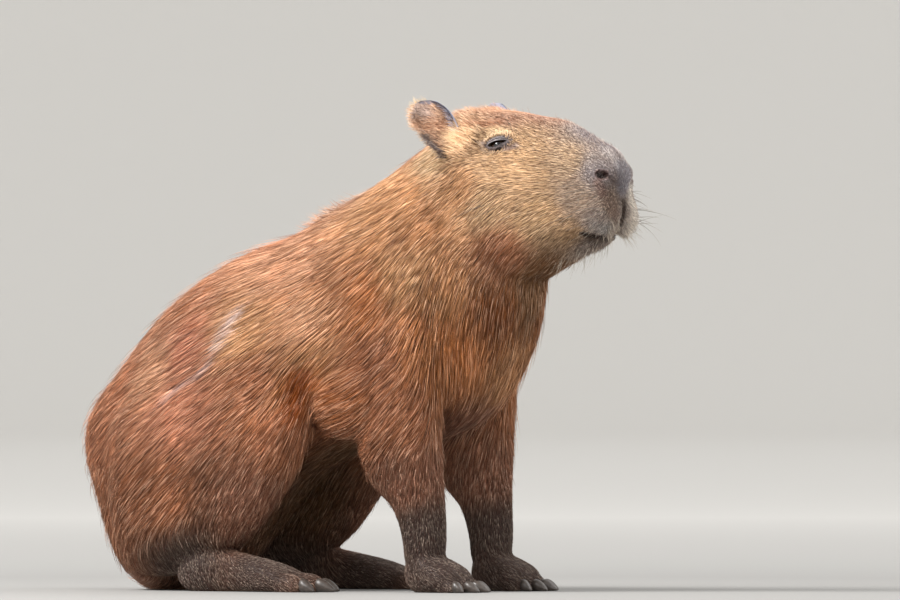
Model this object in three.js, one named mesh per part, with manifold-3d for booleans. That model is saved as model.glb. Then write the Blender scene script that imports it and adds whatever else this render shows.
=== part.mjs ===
// A capybara sitting on its haunches, forelegs straight and head held level, at life size.
// Millimetres, +Z up, nose towards +X, its left side towards +Y, feet and rump on Z = 0.
import * as THREE from "three";
import { mergeVertices } from "three/addons/utils/BufferGeometryUtils.js";
import Module from "manifold-3d";

const wasm = await Module();
wasm.setup();

// Driving sizes
const gap = 0.3; // clearance kept between neighbouring pieces
const middleX = 97.46; // middle of the animal's length, in the coordinates of the stations below
const middleY = -0.37; // middle of its width, which the locks make a little uneven

const eye = { x: 312, y: 48, z: 522, radius: 11, tilt: -0.22 };
const lids = { long: 19, deep: 13, high: 13, slitLong: 14, slitHigh: 3.4 };
const nostril = { x: 443, y: 31, z: 488, long: 8, deep: 12, high: 4.5, turn: 0.5 };
const philtrum = { x: 466, top: 486, bottom: 404, wide: 4, deep: 13 };
const ear = { x: 244, y: 56, z: 520, high: 54, wide: 54, root: 0.25, widest: 0.42 };
const earBend = { cup: 12, thick: 4.5, lean: 0.34, splay: 0.22, turn: 0.5 };
const foreToes = { count: 4, x: 256, y: 80, pitch: 12, fan: 0.6, reach: 42, radius: 9.5, claw: 16 };
const hindToes = { count: 3, x: 66, y: 129, pitch: 17, fan: 0.4, reach: 52, radius: 11, claw: 19 };

// Cuts that part the body: planes as a point and a normal in side view, levels and inner faces
const rumpCut = { at: [-70, 240], facing: [0.75, 0.66] };
const neckCut = { at: [190, 360], facing: [0.78, 0.62] };
const headCut = { at: [262, 470], facing: [0.9, 0.43] };
const mouthCut = { at: [404, 413], facing: [0.05, -1] };
const jawCut = { at: [396, 404], facing: [0.72, -0.69] };
const kneeCut = { at: [45, 150], facing: [-0.49, -0.87] };
const shinCut = { at: [-28, 140], facing: [0.9, -0.44] };
const elbowZ = 165;
const wristZ = 56;
const shoulderInside = 50;
const haunchInside = 88;
const mouthGap = 0.7; // height of the line between the lips

// The coat: depth from the flesh to the tips of the hair, the size of a lock, and how far one row
// and one lock lie from the next. Headings turn from straight back along a form towards the floor.
const coat = { depth: 6, long: 120, wide: 52, thick: 5, rowStep: 92, lockStep: 56, jitter: 0.2 };
const lockProfile = [
  { share: 0, height: -9, width: 0.5 },
  { share: 0.32, height: -0.5, width: 1 },
  { share: 0.74, height: 3.5, width: 0.7 },
  { share: 1, height: 6.5, width: 0 },
];

// Colours of the coat and of the bare parts
const finish = (color, roughness) => new THREE.MeshStandardMaterial({ color, roughness, metalness: 0 });
const coatRed = finish(0x9c5a36, 0.85);
const coatTawny = finish(0xa9734a, 0.85);
const coatFace = finish(0x9a7a5e, 0.8);
const coatLeg = finish(0x5a463c, 0.85);
const earSkin = finish(0x6d625f, 0.7);
const eyeBlack = finish(0x120c0a, 0.08);
const clawHorn = finish(0x2b2523, 0.45);

// A closed geometry as a solid, and a solid as a geometry
function solidOf(geometry) {
  const bare = geometry.clone();
  bare.deleteAttribute("normal");
  bare.deleteAttribute("uv");
  const merged = mergeVertices(bare, 1e-3);
  const triVerts = new Uint32Array(merged.index.array);
  const vertProperties = merged.attributes.position.array;
  return new wasm.Manifold(new wasm.Mesh({ numProp: 3, vertProperties, triVerts }));
}

function geometryOf(solid) {
  const mesh = solid.getMesh();
  const geometry = new THREE.BufferGeometry();
  geometry.setAttribute("position", new THREE.BufferAttribute(mesh.vertProperties, 3));
  geometry.setIndex(new THREE.BufferAttribute(mesh.triVerts, 1));
  geometry.computeVertexNormals();
  return geometry;
}

// A closed surface over rings that all have the same number of points, with a pole at each end
function loft(rings, firstPole, lastPole) {
  const spokes = rings[0].length;
  const points = [firstPole, ...rings.flat(), lastPole];
  const at = (ring, spoke) => 1 + ring * spokes + (spoke % spokes);
  const faces = [];
  for (let spoke = 0; spoke < spokes; spoke += 1) {
    faces.push([0, at(0, spoke), at(0, spoke + 1)]);
    for (let ring = 0; ring + 1 < rings.length; ring += 1) {
      faces.push([at(ring, spoke), at(ring + 1, spoke), at(ring, spoke + 1)]);
      faces.push([at(ring, spoke + 1), at(ring + 1, spoke), at(ring + 1, spoke + 1)]);
    }
    faces.push([points.length - 1, at(rings.length - 1, spoke + 1), at(rings.length - 1, spoke)]);
  }
  const geometry = new THREE.BufferGeometry().setFromPoints(points);
  geometry.setIndex(faces.flat());
  const made = solidOf(geometry);
  if (made.volume() > 0) return made;
  geometry.setIndex(faces.flatMap(([a, b, c]) => [a, c, b]));
  return solidOf(geometry);
}

// A body form: superellipse rings swept through stations. Each station gives the two edges of the
// form in side view, high and low as [x, z], how far y its middle is from the midline, and half its
// width. Side is 1 on the left of the body and -1 on the right.
class Form {
  constructor({ stations, side = 1, rings, spokes, power = 2, lean = 0, ends }) {
    const curve = (edge) =>
      new THREE.CatmullRomCurve3(
        stations.map((s) => new THREE.Vector3(s[edge][0], side * (s.y ?? 0), s[edge][1])),
        false,
        "centripetal"
      );
    this.high = curve("high");
    this.low = curve("low");
    const spread = stations.map((s, k) => new THREE.Vector2(k, s.half));
    this.halves = new THREE.SplineCurve(spread);
    Object.assign(this, { rings, spokes, power, lean, ends });
  }

  middle(t) {
    return this.high.getPoint(t).add(this.low.getPoint(t)).multiplyScalar(0.5);
  }

  // The size of the ring at t: both ends close as rounded caps
  size(t) {
    const { first, last, blunt = 2 } = this.ends;
    const left = Math.max(0, 1 - t / first, 1 - (1 - t) / last);
    return Math.max(1 - left ** blunt, 0) ** (1 / blunt);
  }

  // The point at t along the form and at angle a round it, which starts on the high edge and turns
  // towards +Y. Grow moves the surface out by that distance.
  point(t, a, grow = 0) {
    const size = this.size(t);
    const rise = this.high.getPoint(t).sub(this.low.getPoint(t)).multiplyScalar(0.5);
    const reach = rise.length();
    const bend = (v) => Math.sign(v) * Math.abs(v) ** (2 / this.power);
    const along = bend(Math.cos(a));
    const half = this.halves.getPoint(t).y * (1 - this.lean * along);
    const out = grow < 0 ? grow * size : grow;
    return this.middle(t)
      .addScaledVector(rise.normalize(), along * (reach * size + out))
      .add(new THREE.Vector3(0, bend(Math.sin(a)) * (half * size + out), 0));
  }

  // Where the rings lie, from 0 to 1, closer together on the caps
  stops() {
    const { first, last, steps, rootSteps = steps, blunt = 2 } = this.ends;
    const cap = (count) =>
      Array.from({ length: count }, (_, k) => {
        const angle = ((k + 1) / count) * (Math.PI / 2);
        return 1 - Math.cos(angle) ** (2 / blunt);
      });
    const between = Array.from({ length: this.rings - 1 }, (_, k) => (k + 1) / this.rings);
    return [
      ...cap(rootSteps).map((share) => first * share),
      ...between.map((share) => first + (1 - first - last) * share),
      ...cap(steps).reverse().map((share) => 1 - last * share),
    ];
  }

  solid(grow = 0) {
    const rings = this.stops().map((t) =>
      Array.from({ length: this.spokes }, (_, k) => this.point(t, (k / this.spokes) * 2 * Math.PI, grow))
    );
    const inset = 0.05;
    const pole = (end, inner) => {
      const tip = this.middle(end);
      const out = tip.clone().sub(this.middle(inner)).normalize();
      return tip.addScaledVector(out, Math.max(grow, 0));
    };
    return loft(rings, pole(0, inset), pole(1, 1 - inset));
  }
}

// A repeatable random draw between -1 and 1
function drawsFrom(seed) {
  let state = seed;
  return () => {
    state = (Math.imul(state, 1664525) + 1013904223) >>> 0;
    return state / 2 ** 31 - 1;
  };
}

const clampT = (t) => THREE.MathUtils.clamp(t, 0.012, 0.988);

// How many millimetres of the surface a unit of t and a radian of a are worth at one place
function pace(form, t, a) {
  const step = 0.01;
  const inner = THREE.MathUtils.clamp(t, 2 * step, 1 - 2 * step);
  const along = form.point(inner + step, a).distanceTo(form.point(inner - step, a)) / (2 * step);
  const around = form.point(inner, a + step).distanceTo(form.point(inner, a - step)) / (2 * step);
  return { along, around };
}

// One lock: a flat three-sided blade that follows the surface from its sunk root and lifts to its
// tip. Way is +1 or -1 along t, and turn is +1 or -1 round a, towards the floor.
function lock(form, start, way, turn, heading, scale) {
  const rings = [];
  const place = { ...start };
  let before = 0;
  let tip;
  for (const { share, height, width } of lockProfile) {
    const walked = (share - before) * coat.long * scale;
    const { along, around } = pace(form, place.t, place.a);
    place.t += (way * Math.cos(heading) * walked) / along;
    place.a += (turn * Math.sin(heading) * walked) / around;
    before = share;
    const at = (dt, da, rise) => form.point(clampT(place.t + dt), place.a + da, rise);
    const level = height - coat.depth;
    const centre = at(0, 0, level);
    if (width === 0) {
      tip = centre;
      continue;
    }
    const half = 0.5 * coat.wide * scale * width;
    const sideT = (way * Math.sin(heading) * half) / along;
    const sideA = (-turn * Math.cos(heading) * half) / around;
    const ridge = coat.thick * (0.3 + 0.7 * width);
    rings.push([at(sideT, sideA, level - 1), at(0, 0, level + ridge), at(-sideT, -sideA, level - 1)]);
  }
  const root = rings[0].reduce((sum, p) => sum.add(p), new THREE.Vector3()).divideScalar(3);
  return loft(rings, root, tip);
}

// Locks in staggered rows over a stretch of a form. Field gives the heading at each place.
function locksOver(form, { from, to, around, way, field, side, seed }) {
  const draw = drawsFrom(seed);
  const sizeJitter = 0.14;
  const headingJitter = 0.12;
  const made = [];
  let row = 0;
  for (let t = from; t <= to; row += 1) {
    const rowPace = pace(form, t, (around[0] + around[1]) / 2);
    const width = (around[1] - around[0]) * rowPace.around;
    const count = Math.max(1, Math.round(width / coat.lockStep));
    for (let k = 0; k < count; k += 1) {
      const share = (k + 0.5 + (row % 2 ? 0.25 : -0.25) + coat.jitter * draw()) / count;
      const a = around[0] + share * (around[1] - around[0]);
      const start = { t: t + (coat.jitter * draw() * coat.rowStep) / rowPace.along, a };
      const size = 1 + sizeJitter * draw();
      for (const turn of side ? [side] : [1, -1]) {
        const placed = { t: start.t, a: turn * start.a };
        made.push(lock(form, placed, way, turn, field(start.t, a) + headingJitter * draw(), size));
      }
    }
    t += coat.rowStep / rowPace.along;
  }
  return made;
}

function ellipsoid(centre, radii, segments, turnY = 0, turnZ = 0) {
  const ball = new THREE.SphereGeometry(1, segments, Math.round(segments * 0.6));
  ball.scale(...radii);
  ball.rotateY(turnY);
  ball.rotateZ(turnZ);
  ball.translate(...centre);
  return solidOf(ball);
}

function block(low, high) {
  const size = high.map((v, i) => v - low[i]);
  const box = new THREE.BoxGeometry(...size);
  box.translate(...low.map((v, i) => v + size[i] / 2));
  return solidOf(box);
}

// Everything on the facing side of a cut, less a margin
function beyond({ at, facing }, margin = 0) {
  const reach = 1500;
  const half = new THREE.BoxGeometry(reach, reach, reach);
  half.translate(0, 0, reach / 2 + margin);
  const up = new THREE.Vector3(0, 0, 1);
  const normal = new THREE.Vector3(facing[0], 0, facing[1]).normalize();
  half.applyQuaternion(new THREE.Quaternion().setFromUnitVectors(up, normal));
  half.translate(at[0], 0, at[1]);
  return solidOf(half);
}

// A slab across one side of the body: a smooth outline in side view from the inner face outwards
function slab(outline, inside, side, margin = 0) {
  const depth = 200;
  const points = outline.map(([x, z]) => new THREE.Vector2(x, z));
  const centre = points.reduce((sum, p) => sum.add(p), new THREE.Vector2()).divideScalar(points.length);
  const reach = Math.min(...points.map((p) => p.distanceTo(centre)));
  for (const p of points) p.sub(centre).multiplyScalar(1 + margin / reach).add(centre);
  const smooth = new THREE.CatmullRomCurve3(
    points.map((p) => new THREE.Vector3(p.x, p.y, 0)),
    true
  );
  const shape = new THREE.Shape(smooth.getPoints(36).slice(1).map((p) => new THREE.Vector2(p.x, p.y)));
  const body = new THREE.ExtrudeGeometry(shape, { depth, bevelEnabled: false });
  body.rotateX(Math.PI / 2);
  body.translate(0, side > 0 ? depth + inside - margin : margin - inside, 0);
  return solidOf(body);
}

const union = (solids) => solids.reduce((sum, solid) => sum.add(solid));
const largest = (solid) =>
  solid.decompose().reduce((best, piece) => (piece.volume() > best.volume() ? piece : best));

// Trunk and neck, from the rump to inside the skull
const trunk = new Form({
  stations: [
    { high: [-238, 94], low: [-222, 48], half: 30 },
    { high: [-248, 146], low: [-188, 0], half: 66 },
    { high: [-258, 206], low: [-150, -15], half: 112 },
    { high: [-221, 265], low: [-100, -4], half: 135 },
    { high: [-164, 322], low: [-40, 62], half: 148 },
    { high: [-98, 372], low: [14, 122], half: 154 },
    { high: [-34, 404], low: [76, 154], half: 148 },
    { high: [22, 422], low: [136, 172], half: 138 },
    { high: [68, 450], low: [200, 176], half: 126 },
    { high: [110, 472], low: [266, 206], half: 115 },
    { high: [145, 493], low: [307, 262], half: 104 },
    { high: [175, 514], low: [327, 317], half: 93 },
    { high: [203, 533], low: [334, 357], half: 83 },
    { high: [234, 541], low: [338, 392], half: 72 },
  ],
  rings: 16,
  spokes: 22,
  power: 2.1,
  lean: 0.12,
  ends: { first: 0.08, last: 0.05, steps: 3 },
});

// Skull and cheeks, out to the blunt muzzle
const skull = new Form({
  stations: [
    { high: [206, 512], low: [262, 414], half: 42 },
    { high: [220, 549], low: [290, 374], half: 66 },
    { high: [254, 565], low: [322, 362], half: 74 },
    { high: [302, 563], low: [350, 372], half: 68 },
    { high: [344, 554], low: [378, 391], half: 56 },
    { high: [382, 543], low: [406, 406], half: 49 },
    { high: [412, 528], low: [430, 408], half: 46 },
    { high: [442, 505], low: [457, 411], half: 42 },
  ],
  rings: 9,
  spokes: 24,
  power: 2.8,
  lean: 0.14,
  ends: { first: 0.08, last: 0.1, steps: 4, blunt: 3.2 },
});

// Lower jaw, set back under the muzzle
const chin = new Form({
  stations: [
    { high: [310, 426], low: [334, 366], half: 50 },
    { high: [360, 426], low: [374, 380], half: 35 },
    { high: [396, 424], low: [404, 394], half: 26 },
    { high: [434, 421], low: [431, 402], half: 20 },
  ],
  rings: 5,
  spokes: 16,
  power: 2,
  ends: { first: 0.1, last: 0.22, steps: 3 },
});

const foreleg = (side) =>
  new Form({
    side,
    stations: [
      { high: [246, 352], low: [166, 362], y: 70, half: 36 },
      { high: [256, 290], low: [156, 285], y: 80, half: 41 },
      { high: [251, 235], low: [148, 220], y: 86, half: 41 },
      { high: [250, 190], low: [146, 168], y: 86, half: 37 },
      { high: [252, 148], low: [160, 128], y: 82, half: 32 },
      { high: [254, 108], low: [188, 98], y: 79, half: 27 },
      { high: [256, 66], low: [200, 62], y: 78, half: 26 },
      { high: [252, 30], low: [204, 28], y: 78, half: 25 },
    ],
    rings: 8,
    spokes: 14,
    power: 2.1,
    ends: { first: 0.12, last: 0.05, steps: 2 },
  });

const palm = (side) =>
  new Form({
    side,
    stations: [
      { high: [198, 42], low: [196, 10], y: 78, half: 20 },
      { high: [228, 50], low: [228, -4], y: 79, half: 29 },
      { high: [258, 38], low: [258, -4], y: 80, half: 35 },
      { high: [284, 24], low: [284, -4], y: 80, half: 32 },
    ],
    rings: 3,
    spokes: 14,
    power: 2.4,
    ends: { first: 0.2, last: 0.18, steps: 2 },
  });

const haunch = (side) =>
  new Form({
    side,
    stations: [
      { high: [-196, 172], low: [-186, 62], y: 80, half: 30 },
      { high: [-156, 234], low: [-152, 18], y: 99, half: 50 },
      { high: [-96, 278], low: [-92, 12], y: 109, half: 53 },
      { high: [-28, 290], low: [-20, 34], y: 112, half: 53 },
      { high: [38, 286], low: [44, 96], y: 113, half: 48 },
      { high: [100, 258], low: [92, 178], y: 112, half: 34 },
    ],
    rings: 6,
    spokes: 18,
    power: 2.2,
    ends: { first: 0.14, last: 0.14, steps: 2 },
  });

const shin = (side) =>
  new Form({
    side,
    stations: [
      { high: [108, 240], low: [44, 232], y: 113, half: 34 },
      { high: [94, 196], low: [20, 172], y: 117, half: 37 },
      { high: [68, 142], low: [-18, 108], y: 120, half: 34 },
      { high: [36, 92], low: [-50, 62], y: 121, half: 28 },
      { high: [2, 52], low: [-66, 30], y: 120, half: 22 },
    ],
    rings: 5,
    spokes: 14,
    ends: { first: 0.2, last: 0.14, steps: 2 },
  });

const sole = (side) =>
  new Form({
    side,
    stations: [
      { high: [-78, 34], low: [-80, 6], y: 120, half: 15 },
      { high: [-42, 50], low: [-42, -4], y: 121, half: 23 },
      { high: [8, 44], low: [8, -4], y: 123, half: 24 },
      { high: [56, 34], low: [56, -4], y: 127, half: 31 },
      { high: [90, 22], low: [90, -4], y: 129, half: 29 },
    ],
    rings: 4,
    spokes: 14,
    power: 2.4,
    ends: { first: 0.12, last: 0.14, steps: 2 },
  });

// Outlines in side view of what belongs to a foreleg above the wrist and to a hind leg
const forelegOutline = [
  [144, 100], [142, 240], [162, 318], [206, 352], [246, 318], [268, 240], [272, 100],
];
const haunchOutline = [
  [-208, 60], [-212, 170], [-180, 240], [-110, 288], [-30, 304], [50, 300], [108, 276],
  [126, 240], [112, 180], [70, 90], [20, 10], [-60, -30], [-180, -30],
];

// A toe and its blunt claw, for each toe of a foot, side by side and fanned out
function toesOf(plan, side) {
  return Array.from({ length: plan.count }, (_, k) => {
    const share = k / (plan.count - 1) - 0.5;
    const spread = share * plan.fan;
    const rootY = plan.y + share * (plan.count - 1) * plan.pitch;
    const length = 1 - 0.7 * Math.abs(spread);
    const r = plan.radius;
    const station = (reach, high, low, half) => {
      const x = plan.x + Math.cos(spread) * reach * length;
      const y = rootY + Math.sin(spread) * reach * length;
      return { high: [x, high * r], low: [x, low], y, half: half * r };
    };
    const toe = new Form({
      side,
      stations: [
        station(0, 2, -4, 1),
        station(plan.reach * 0.55, 1.9, -4, 1),
        station(plan.reach, 1.3, -3, 0.82),
      ],
      rings: 1,
      spokes: 8,
      ends: { first: 0.2, last: 0.4, steps: 2, rootSteps: 1 },
    });
    const claw = new Form({
      side,
      stations: [
        station(plan.reach - 6, 1.5, 1, 0.62),
        station(plan.reach + 2, 1.4, -1, 0.74),
        station(plan.reach + plan.claw, 0.45, -1, 0.4),
      ],
      rings: 2,
      spokes: 6,
      ends: { first: 0.2, last: 0.25, steps: 1 },
    });
    return { toe, claw };
  });
}

// The flap of the ear: crescent rings from its root up to the rounded tip, hollow side outwards
function earFlap(side) {
  const rings = 7;
  const spokes = 8;
  const tipShare = 0.96;
  const tipRise = 1.5;
  const crescent = (share) => {
    const round = Math.sqrt(Math.max(1 - ((share - ear.widest) / (1.02 - ear.widest)) ** 2, 0));
    const half = (ear.wide / 2) * (share > ear.widest ? round : 0.4 + 0.6 * round);
    const depth = earBend.cup * Math.min(1, 1.2 - share);
    const thick = earBend.thick * (1 - 0.4 * share);
    const place = (across, skin) => {
      const proud = depth * across * across + skin * thick;
      const back = across * half * Math.cos(earBend.turn) - proud * Math.sin(earBend.turn);
      const out = across * half * Math.sin(earBend.turn) + proud * Math.cos(earBend.turn);
      return new THREE.Vector3(
        ear.x - earBend.lean * share * ear.high - back,
        side * (ear.y + earBend.splay * share * ear.high + out),
        ear.z + share * ear.high
      );
    };
    const across = Array.from({ length: spokes }, (_, k) => -1 + (2 * k) / (spokes - 1));
    const outer = across.slice(1, -1).reverse().map((a) => place(a, 1));
    return [...across.map((a) => place(a, 0)), ...outer];
  };
  const rise = (k) => -ear.root + ((tipShare + ear.root) * k) / (rings - 1);
  const made = Array.from({ length: rings }, (_, k) => crescent(rise(k)));
  const mean = (points) =>
    points.reduce((sum, p) => sum.add(p), new THREE.Vector3()).divideScalar(points.length);
  const tip = mean(made[rings - 1]).add(new THREE.Vector3(0, 0, tipRise));
  return loft(made, mean(made[0]), tip);
}

const ground = block([-900, -900, -200], [900, 900, 0]);
const model = new THREE.Group();

function show(name, solid, material) {
  const mesh = new THREE.Mesh(geometryOf(largest(solid)), material);
  mesh.name = name;
  mesh.position.set(-middleX, -middleY, 0);
  model.add(mesh);
}

const limbs = Object.entries({ right: -1, left: 1 }).map(([name, side]) => ({
  name,
  side,
  foreToes: toesOf(foreToes, side),
  hindToes: toesOf(hindToes, side),
}));

// Where the coat lies and which way: back and down along the trunk, steeper on the flank
const trunkCoat = {
  from: 0.16,
  to: 0.95,
  around: [0, 2.2],
  way: -1,
  field: (t, a) => 0.18 + 0.55 * Math.sin(a) * (1 - 0.5 * t),
  seed: 7,
};
const chestCoat = { from: 0.62, to: 0.92, around: [2.3, 3.1], way: -1, field: () => 0.05, seed: 3 };
const haunchCoat = { from: 0.14, to: 0.95, around: [0.6, 2.3], way: -1, field: () => 0.5, seed: 11 };
const shoulderCoat = { from: 0.16, to: 0.46, around: [0.5, 2.7], way: 1, field: () => 0.1, seed: 5 };

// The body whole, with the lids, nostrils and the cleft of the upper lip, before it is parted
let whole = trunk.solid(-coat.depth).add(skull.solid()).add(chin.solid());
whole = whole.add(union([...locksOver(trunk, trunkCoat), ...locksOver(trunk, chestCoat)]));
for (const { side } of limbs) {
  whole = whole.add(foreleg(side).solid()).add(haunch(side).solid(-coat.depth)).add(shin(side).solid());
  whole = whole.add(union(locksOver(haunch(side), { ...haunchCoat, side })));
  whole = whole.add(union(locksOver(foreleg(side), { ...shoulderCoat, side })));
  const lidRadii = [lids.long, lids.deep, lids.high];
  whole = whole.add(ellipsoid([eye.x, side * eye.y, eye.z], lidRadii, 12, eye.tilt));
}
for (const { side } of limbs) {
  const socket = eye.radius + gap;
  whole = whole.subtract(ellipsoid([eye.x, side * eye.y, eye.z], [socket, socket, socket], 12));
  const slit = [eye.x, side * (eye.y + eye.radius), eye.z];
  whole = whole.subtract(ellipsoid(slit, [lids.slitLong, eye.radius, lids.slitHigh], 12, eye.tilt));
  const nose = [nostril.x, side * nostril.y, nostril.z];
  const bore = [nostril.long, nostril.deep, nostril.high];
  whole = whole.subtract(ellipsoid(nose, bore, 10, 0, -side * nostril.turn));
}
const cleftMiddle = [philtrum.x, 0, (philtrum.top + philtrum.bottom) / 2];
const cleftRadii = [philtrum.deep, philtrum.wide, (philtrum.top - philtrum.bottom) / 2];
whole = whole.subtract(ellipsoid(cleftMiddle, cleftRadii, 12));

const mouthLine = beyond(mouthCut, -mouthGap).subtract(beyond(mouthCut)).intersect(beyond(jawCut));
whole = whole.subtract(mouthLine);

// Head and lower jaw
const face = whole.intersect(beyond(headCut, gap));
show("lower_jaw", face.intersect(beyond(mouthCut)).intersect(beyond(jawCut, gap)), coatFace);
show("head", face.subtract(beyond(mouthCut, -gap).intersect(beyond(jawCut))), coatFace);

// Legs, feet and claws, each side by the same cuts
let body = whole.subtract(beyond(headCut));
for (const { name, side, foreToes: fingers, hindToes: toes } of limbs) {
  const palmAndToes = union([palm(side), ...fingers.map(({ toe }) => toe)].map((form) => form.solid()));
  const soleAndToes = union([sole(side), ...toes.map(({ toe }) => toe)].map((form) => form.solid()));
  const soleGrown = sole(side).solid(gap);

  const outer = side > 0 ? [0, 400] : [-400, 0];
  const level = (low, high) => block([100, outer[0], low], [500, outer[1], high]);
  const belowElbow = level(-100, elbowZ);
  const arm = slab(forelegOutline, shoulderInside, side).subtract(level(-100, elbowZ + gap));
  const armGrown = slab(forelegOutline, shoulderInside, side, gap).add(level(-100, elbowZ + gap));
  show(`upper_arm_${name}`, body.intersect(arm), coatRed);
  show(`forearm_${name}`, body.intersect(belowElbow).subtract(level(-100, wristZ + gap)), coatLeg);
  let forefoot = body.intersect(level(-100, wristZ)).add(palmAndToes.subtract(level(wristZ, 100)));
  body = body.subtract(armGrown);
  fingers.forEach(({ claw }, k) => {
    forefoot = forefoot.subtract(claw.solid(gap));
    show(`fore_claw_${name}_${k + 1}`, claw.solid().subtract(ground), clawHorn);
  });
  show(`forefoot_${name}`, forefoot.subtract(ground), coatLeg);

  const hind = body.intersect(slab(haunchOutline, haunchInside, side)).subtract(soleGrown).subtract(ground);
  body = body.subtract(slab(haunchOutline, haunchInside, side, gap)).subtract(soleGrown);
  const lower = beyond(kneeCut).intersect(beyond(shinCut));
  show(`shank_${name}`, hind.intersect(lower), coatRed);
  show(`thigh_${name}`, hind.subtract(beyond(kneeCut, -gap).intersect(beyond(shinCut, -gap))), coatRed);
  let hindfoot = soleAndToes;
  toes.forEach(({ claw }, k) => {
    hindfoot = hindfoot.subtract(claw.solid(gap));
    show(`hind_claw_${name}_${k + 1}`, claw.solid().subtract(ground), clawHorn);
  });
  show(`hindfoot_${name}`, hindfoot.subtract(ground), coatLeg);

  const flap = earFlap(side).subtract(skull.solid(gap)).subtract(trunk.solid(gap));
  show(`ear_${name}`, flap, earSkin);
  const ball = [eye.radius, eye.radius, eye.radius];
  show(`eye_${name}`, ellipsoid([eye.x, side * eye.y, eye.z], ball, 12), eyeBlack);
}

// Neck, torso and rump are what is left of the body
body = body.subtract(ground);
show("neck", body.intersect(beyond(neckCut, gap)), coatTawny);
show("torso", body.subtract(beyond(neckCut)).intersect(beyond(rumpCut, gap)), coatRed);
show("rump", body.subtract(beyond(rumpCut)), coatRed);

export default model;
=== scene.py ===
# A capybara sitting on its haunches at life size: skin, coat, lids, eyes, ears, claws and whiskers
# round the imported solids. Plan sizes are in millimetres, nose towards +X, its left side towards +Y.
import math
import bpy
import numpy as np
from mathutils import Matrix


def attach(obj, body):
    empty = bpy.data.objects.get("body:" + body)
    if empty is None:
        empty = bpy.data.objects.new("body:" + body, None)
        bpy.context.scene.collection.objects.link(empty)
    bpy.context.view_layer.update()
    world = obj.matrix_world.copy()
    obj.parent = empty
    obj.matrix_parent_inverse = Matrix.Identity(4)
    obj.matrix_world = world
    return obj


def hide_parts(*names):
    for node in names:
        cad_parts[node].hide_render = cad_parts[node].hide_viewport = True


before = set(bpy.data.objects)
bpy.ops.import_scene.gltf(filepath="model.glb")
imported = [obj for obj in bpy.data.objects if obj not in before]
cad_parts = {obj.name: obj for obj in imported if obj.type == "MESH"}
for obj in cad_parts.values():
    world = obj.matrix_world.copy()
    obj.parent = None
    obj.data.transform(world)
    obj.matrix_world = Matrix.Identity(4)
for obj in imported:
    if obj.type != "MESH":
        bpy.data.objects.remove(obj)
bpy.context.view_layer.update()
scene = bpy.context.scene
print("frame loaded")

planOrigin = np.array([97.46, -0.37, 0.0])  # the frame's origin, in the coordinates of the body plan
mm = 0.001
sides = {"right": -1, "left": 1}
overFloor = {"skin": 0.4, "hair": 0.3, "claw": 0.3}  # lowest height of each


# Plan millimetres as the frame's metres: less the origin, times a thousandth
def toScene(points):
    return (np.asarray(points, float) - planOrigin) * mm


# The frame's metres as plan millimetres
def toPlan(points):
    return np.asarray(points, float) / mm + planOrigin


# Points of the right side mirrored onto the left
def onLeft(points):
    return np.concatenate([points[:, :1], np.abs(points[:, 1:2]), points[:, 2:]], 1)


# A place or heading drawn for the left side, at the given one
def atSide(place, side):
    return np.array(place, float) * (1, side, 1)


# Each vector divided by its length
def unit(vectors):
    return vectors / np.maximum(np.linalg.norm(vectors, axis=1, keepdims=True), 1e-9)


# Angles evenly round a circle
def turnsOf(count):
    return np.arange(count) / count * 2 * math.pi


# From 0 at low to 1 at high, with level ends
def smoothStep(low, high, value):
    share = np.clip((value - low) / (high - low), 0, 1)
    return share * share * (3 - 2 * share)


# From 1 at no offset down to nearly 0 at two widths
def bell(offset, width):
    return np.exp(-((offset / width) ** 2))


# Camera: low and far off, so that the animal is seen nearly without perspective
cameraView = {
    "across": 188.2, "level": 341.2, "turn": 30.0, "distance": 20.0, "height": 0.3, "lens": 680.0,
    "sensor": 36.0, "clipEnd": 80.0,
}


# It stands back from its target by the distance and looks up at it by the angle that is left
def addCamera(view):
    turn = math.radians(view["turn"])
    target = toScene((view["across"] * math.cos(turn), view["across"] * math.sin(turn), view["level"]))
    away = np.array([-math.sin(turn), math.cos(turn), 0.0])
    place = target - away * view["distance"]
    place[2] = view["height"]
    tilt = math.atan2(target[2] - place[2], view["distance"])
    camera = bpy.data.objects.new("camera", bpy.data.cameras.new("camera"))
    camera.data.lens = view["lens"]
    camera.data.sensor_width = view["sensor"]
    camera.data.clip_end = view["clipEnd"]
    camera.location = place
    camera.rotation_euler = (math.pi / 2 + tilt, 0.0, turn)
    scene.collection.objects.link(camera)
    scene.camera = camera


addCamera(cameraView)


# Meshes from whole arrays: faceSets holds one array of faces for each number of corners
def makeMesh(name, points, faceSets):
    mesh = bpy.data.meshes.new(name)
    corners = np.concatenate([faces.ravel() for faces in faceSets]).astype(np.int32)
    sizes = np.concatenate([np.full(len(faces), faces.shape[1]) for faces in faceSets])
    starts = (np.cumsum(sizes) - sizes).astype(np.int32)
    mesh.vertices.add(len(points))
    mesh.vertices.foreach_set("co", np.asarray(points, np.float32).ravel())
    mesh.loops.add(len(corners))
    mesh.loops.foreach_set("vertex_index", corners)
    mesh.polygons.add(len(sizes))
    mesh.polygons.foreach_set("loop_start", starts)
    mesh.update(calc_edges=True)
    mesh.polygons.foreach_set("use_smooth", np.ones(len(sizes), bool))
    return mesh


# A mesh as an object at the origin, in the scene
def addPiece(name, mesh):
    piece = bpy.data.objects.new(name, mesh)
    scene.collection.objects.link(piece)
    return piece


# A finished piece: its material, and the solids it stands for, which are hidden. The slot it is given
# is not used
def finishPiece(name, mesh, material, slot, *replaced):
    mesh.materials.append(material)
    piece = addPiece(name, mesh)
    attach(piece, "root")
    if replaced:
        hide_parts(*replaced)
    return piece


# One number for each point, for materials to read
def addValues(mesh, name, values):
    attribute = mesh.attributes.new(name, "FLOAT", "POINT")
    attribute.data.foreach_set("value", np.asarray(values, np.float32))


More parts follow.
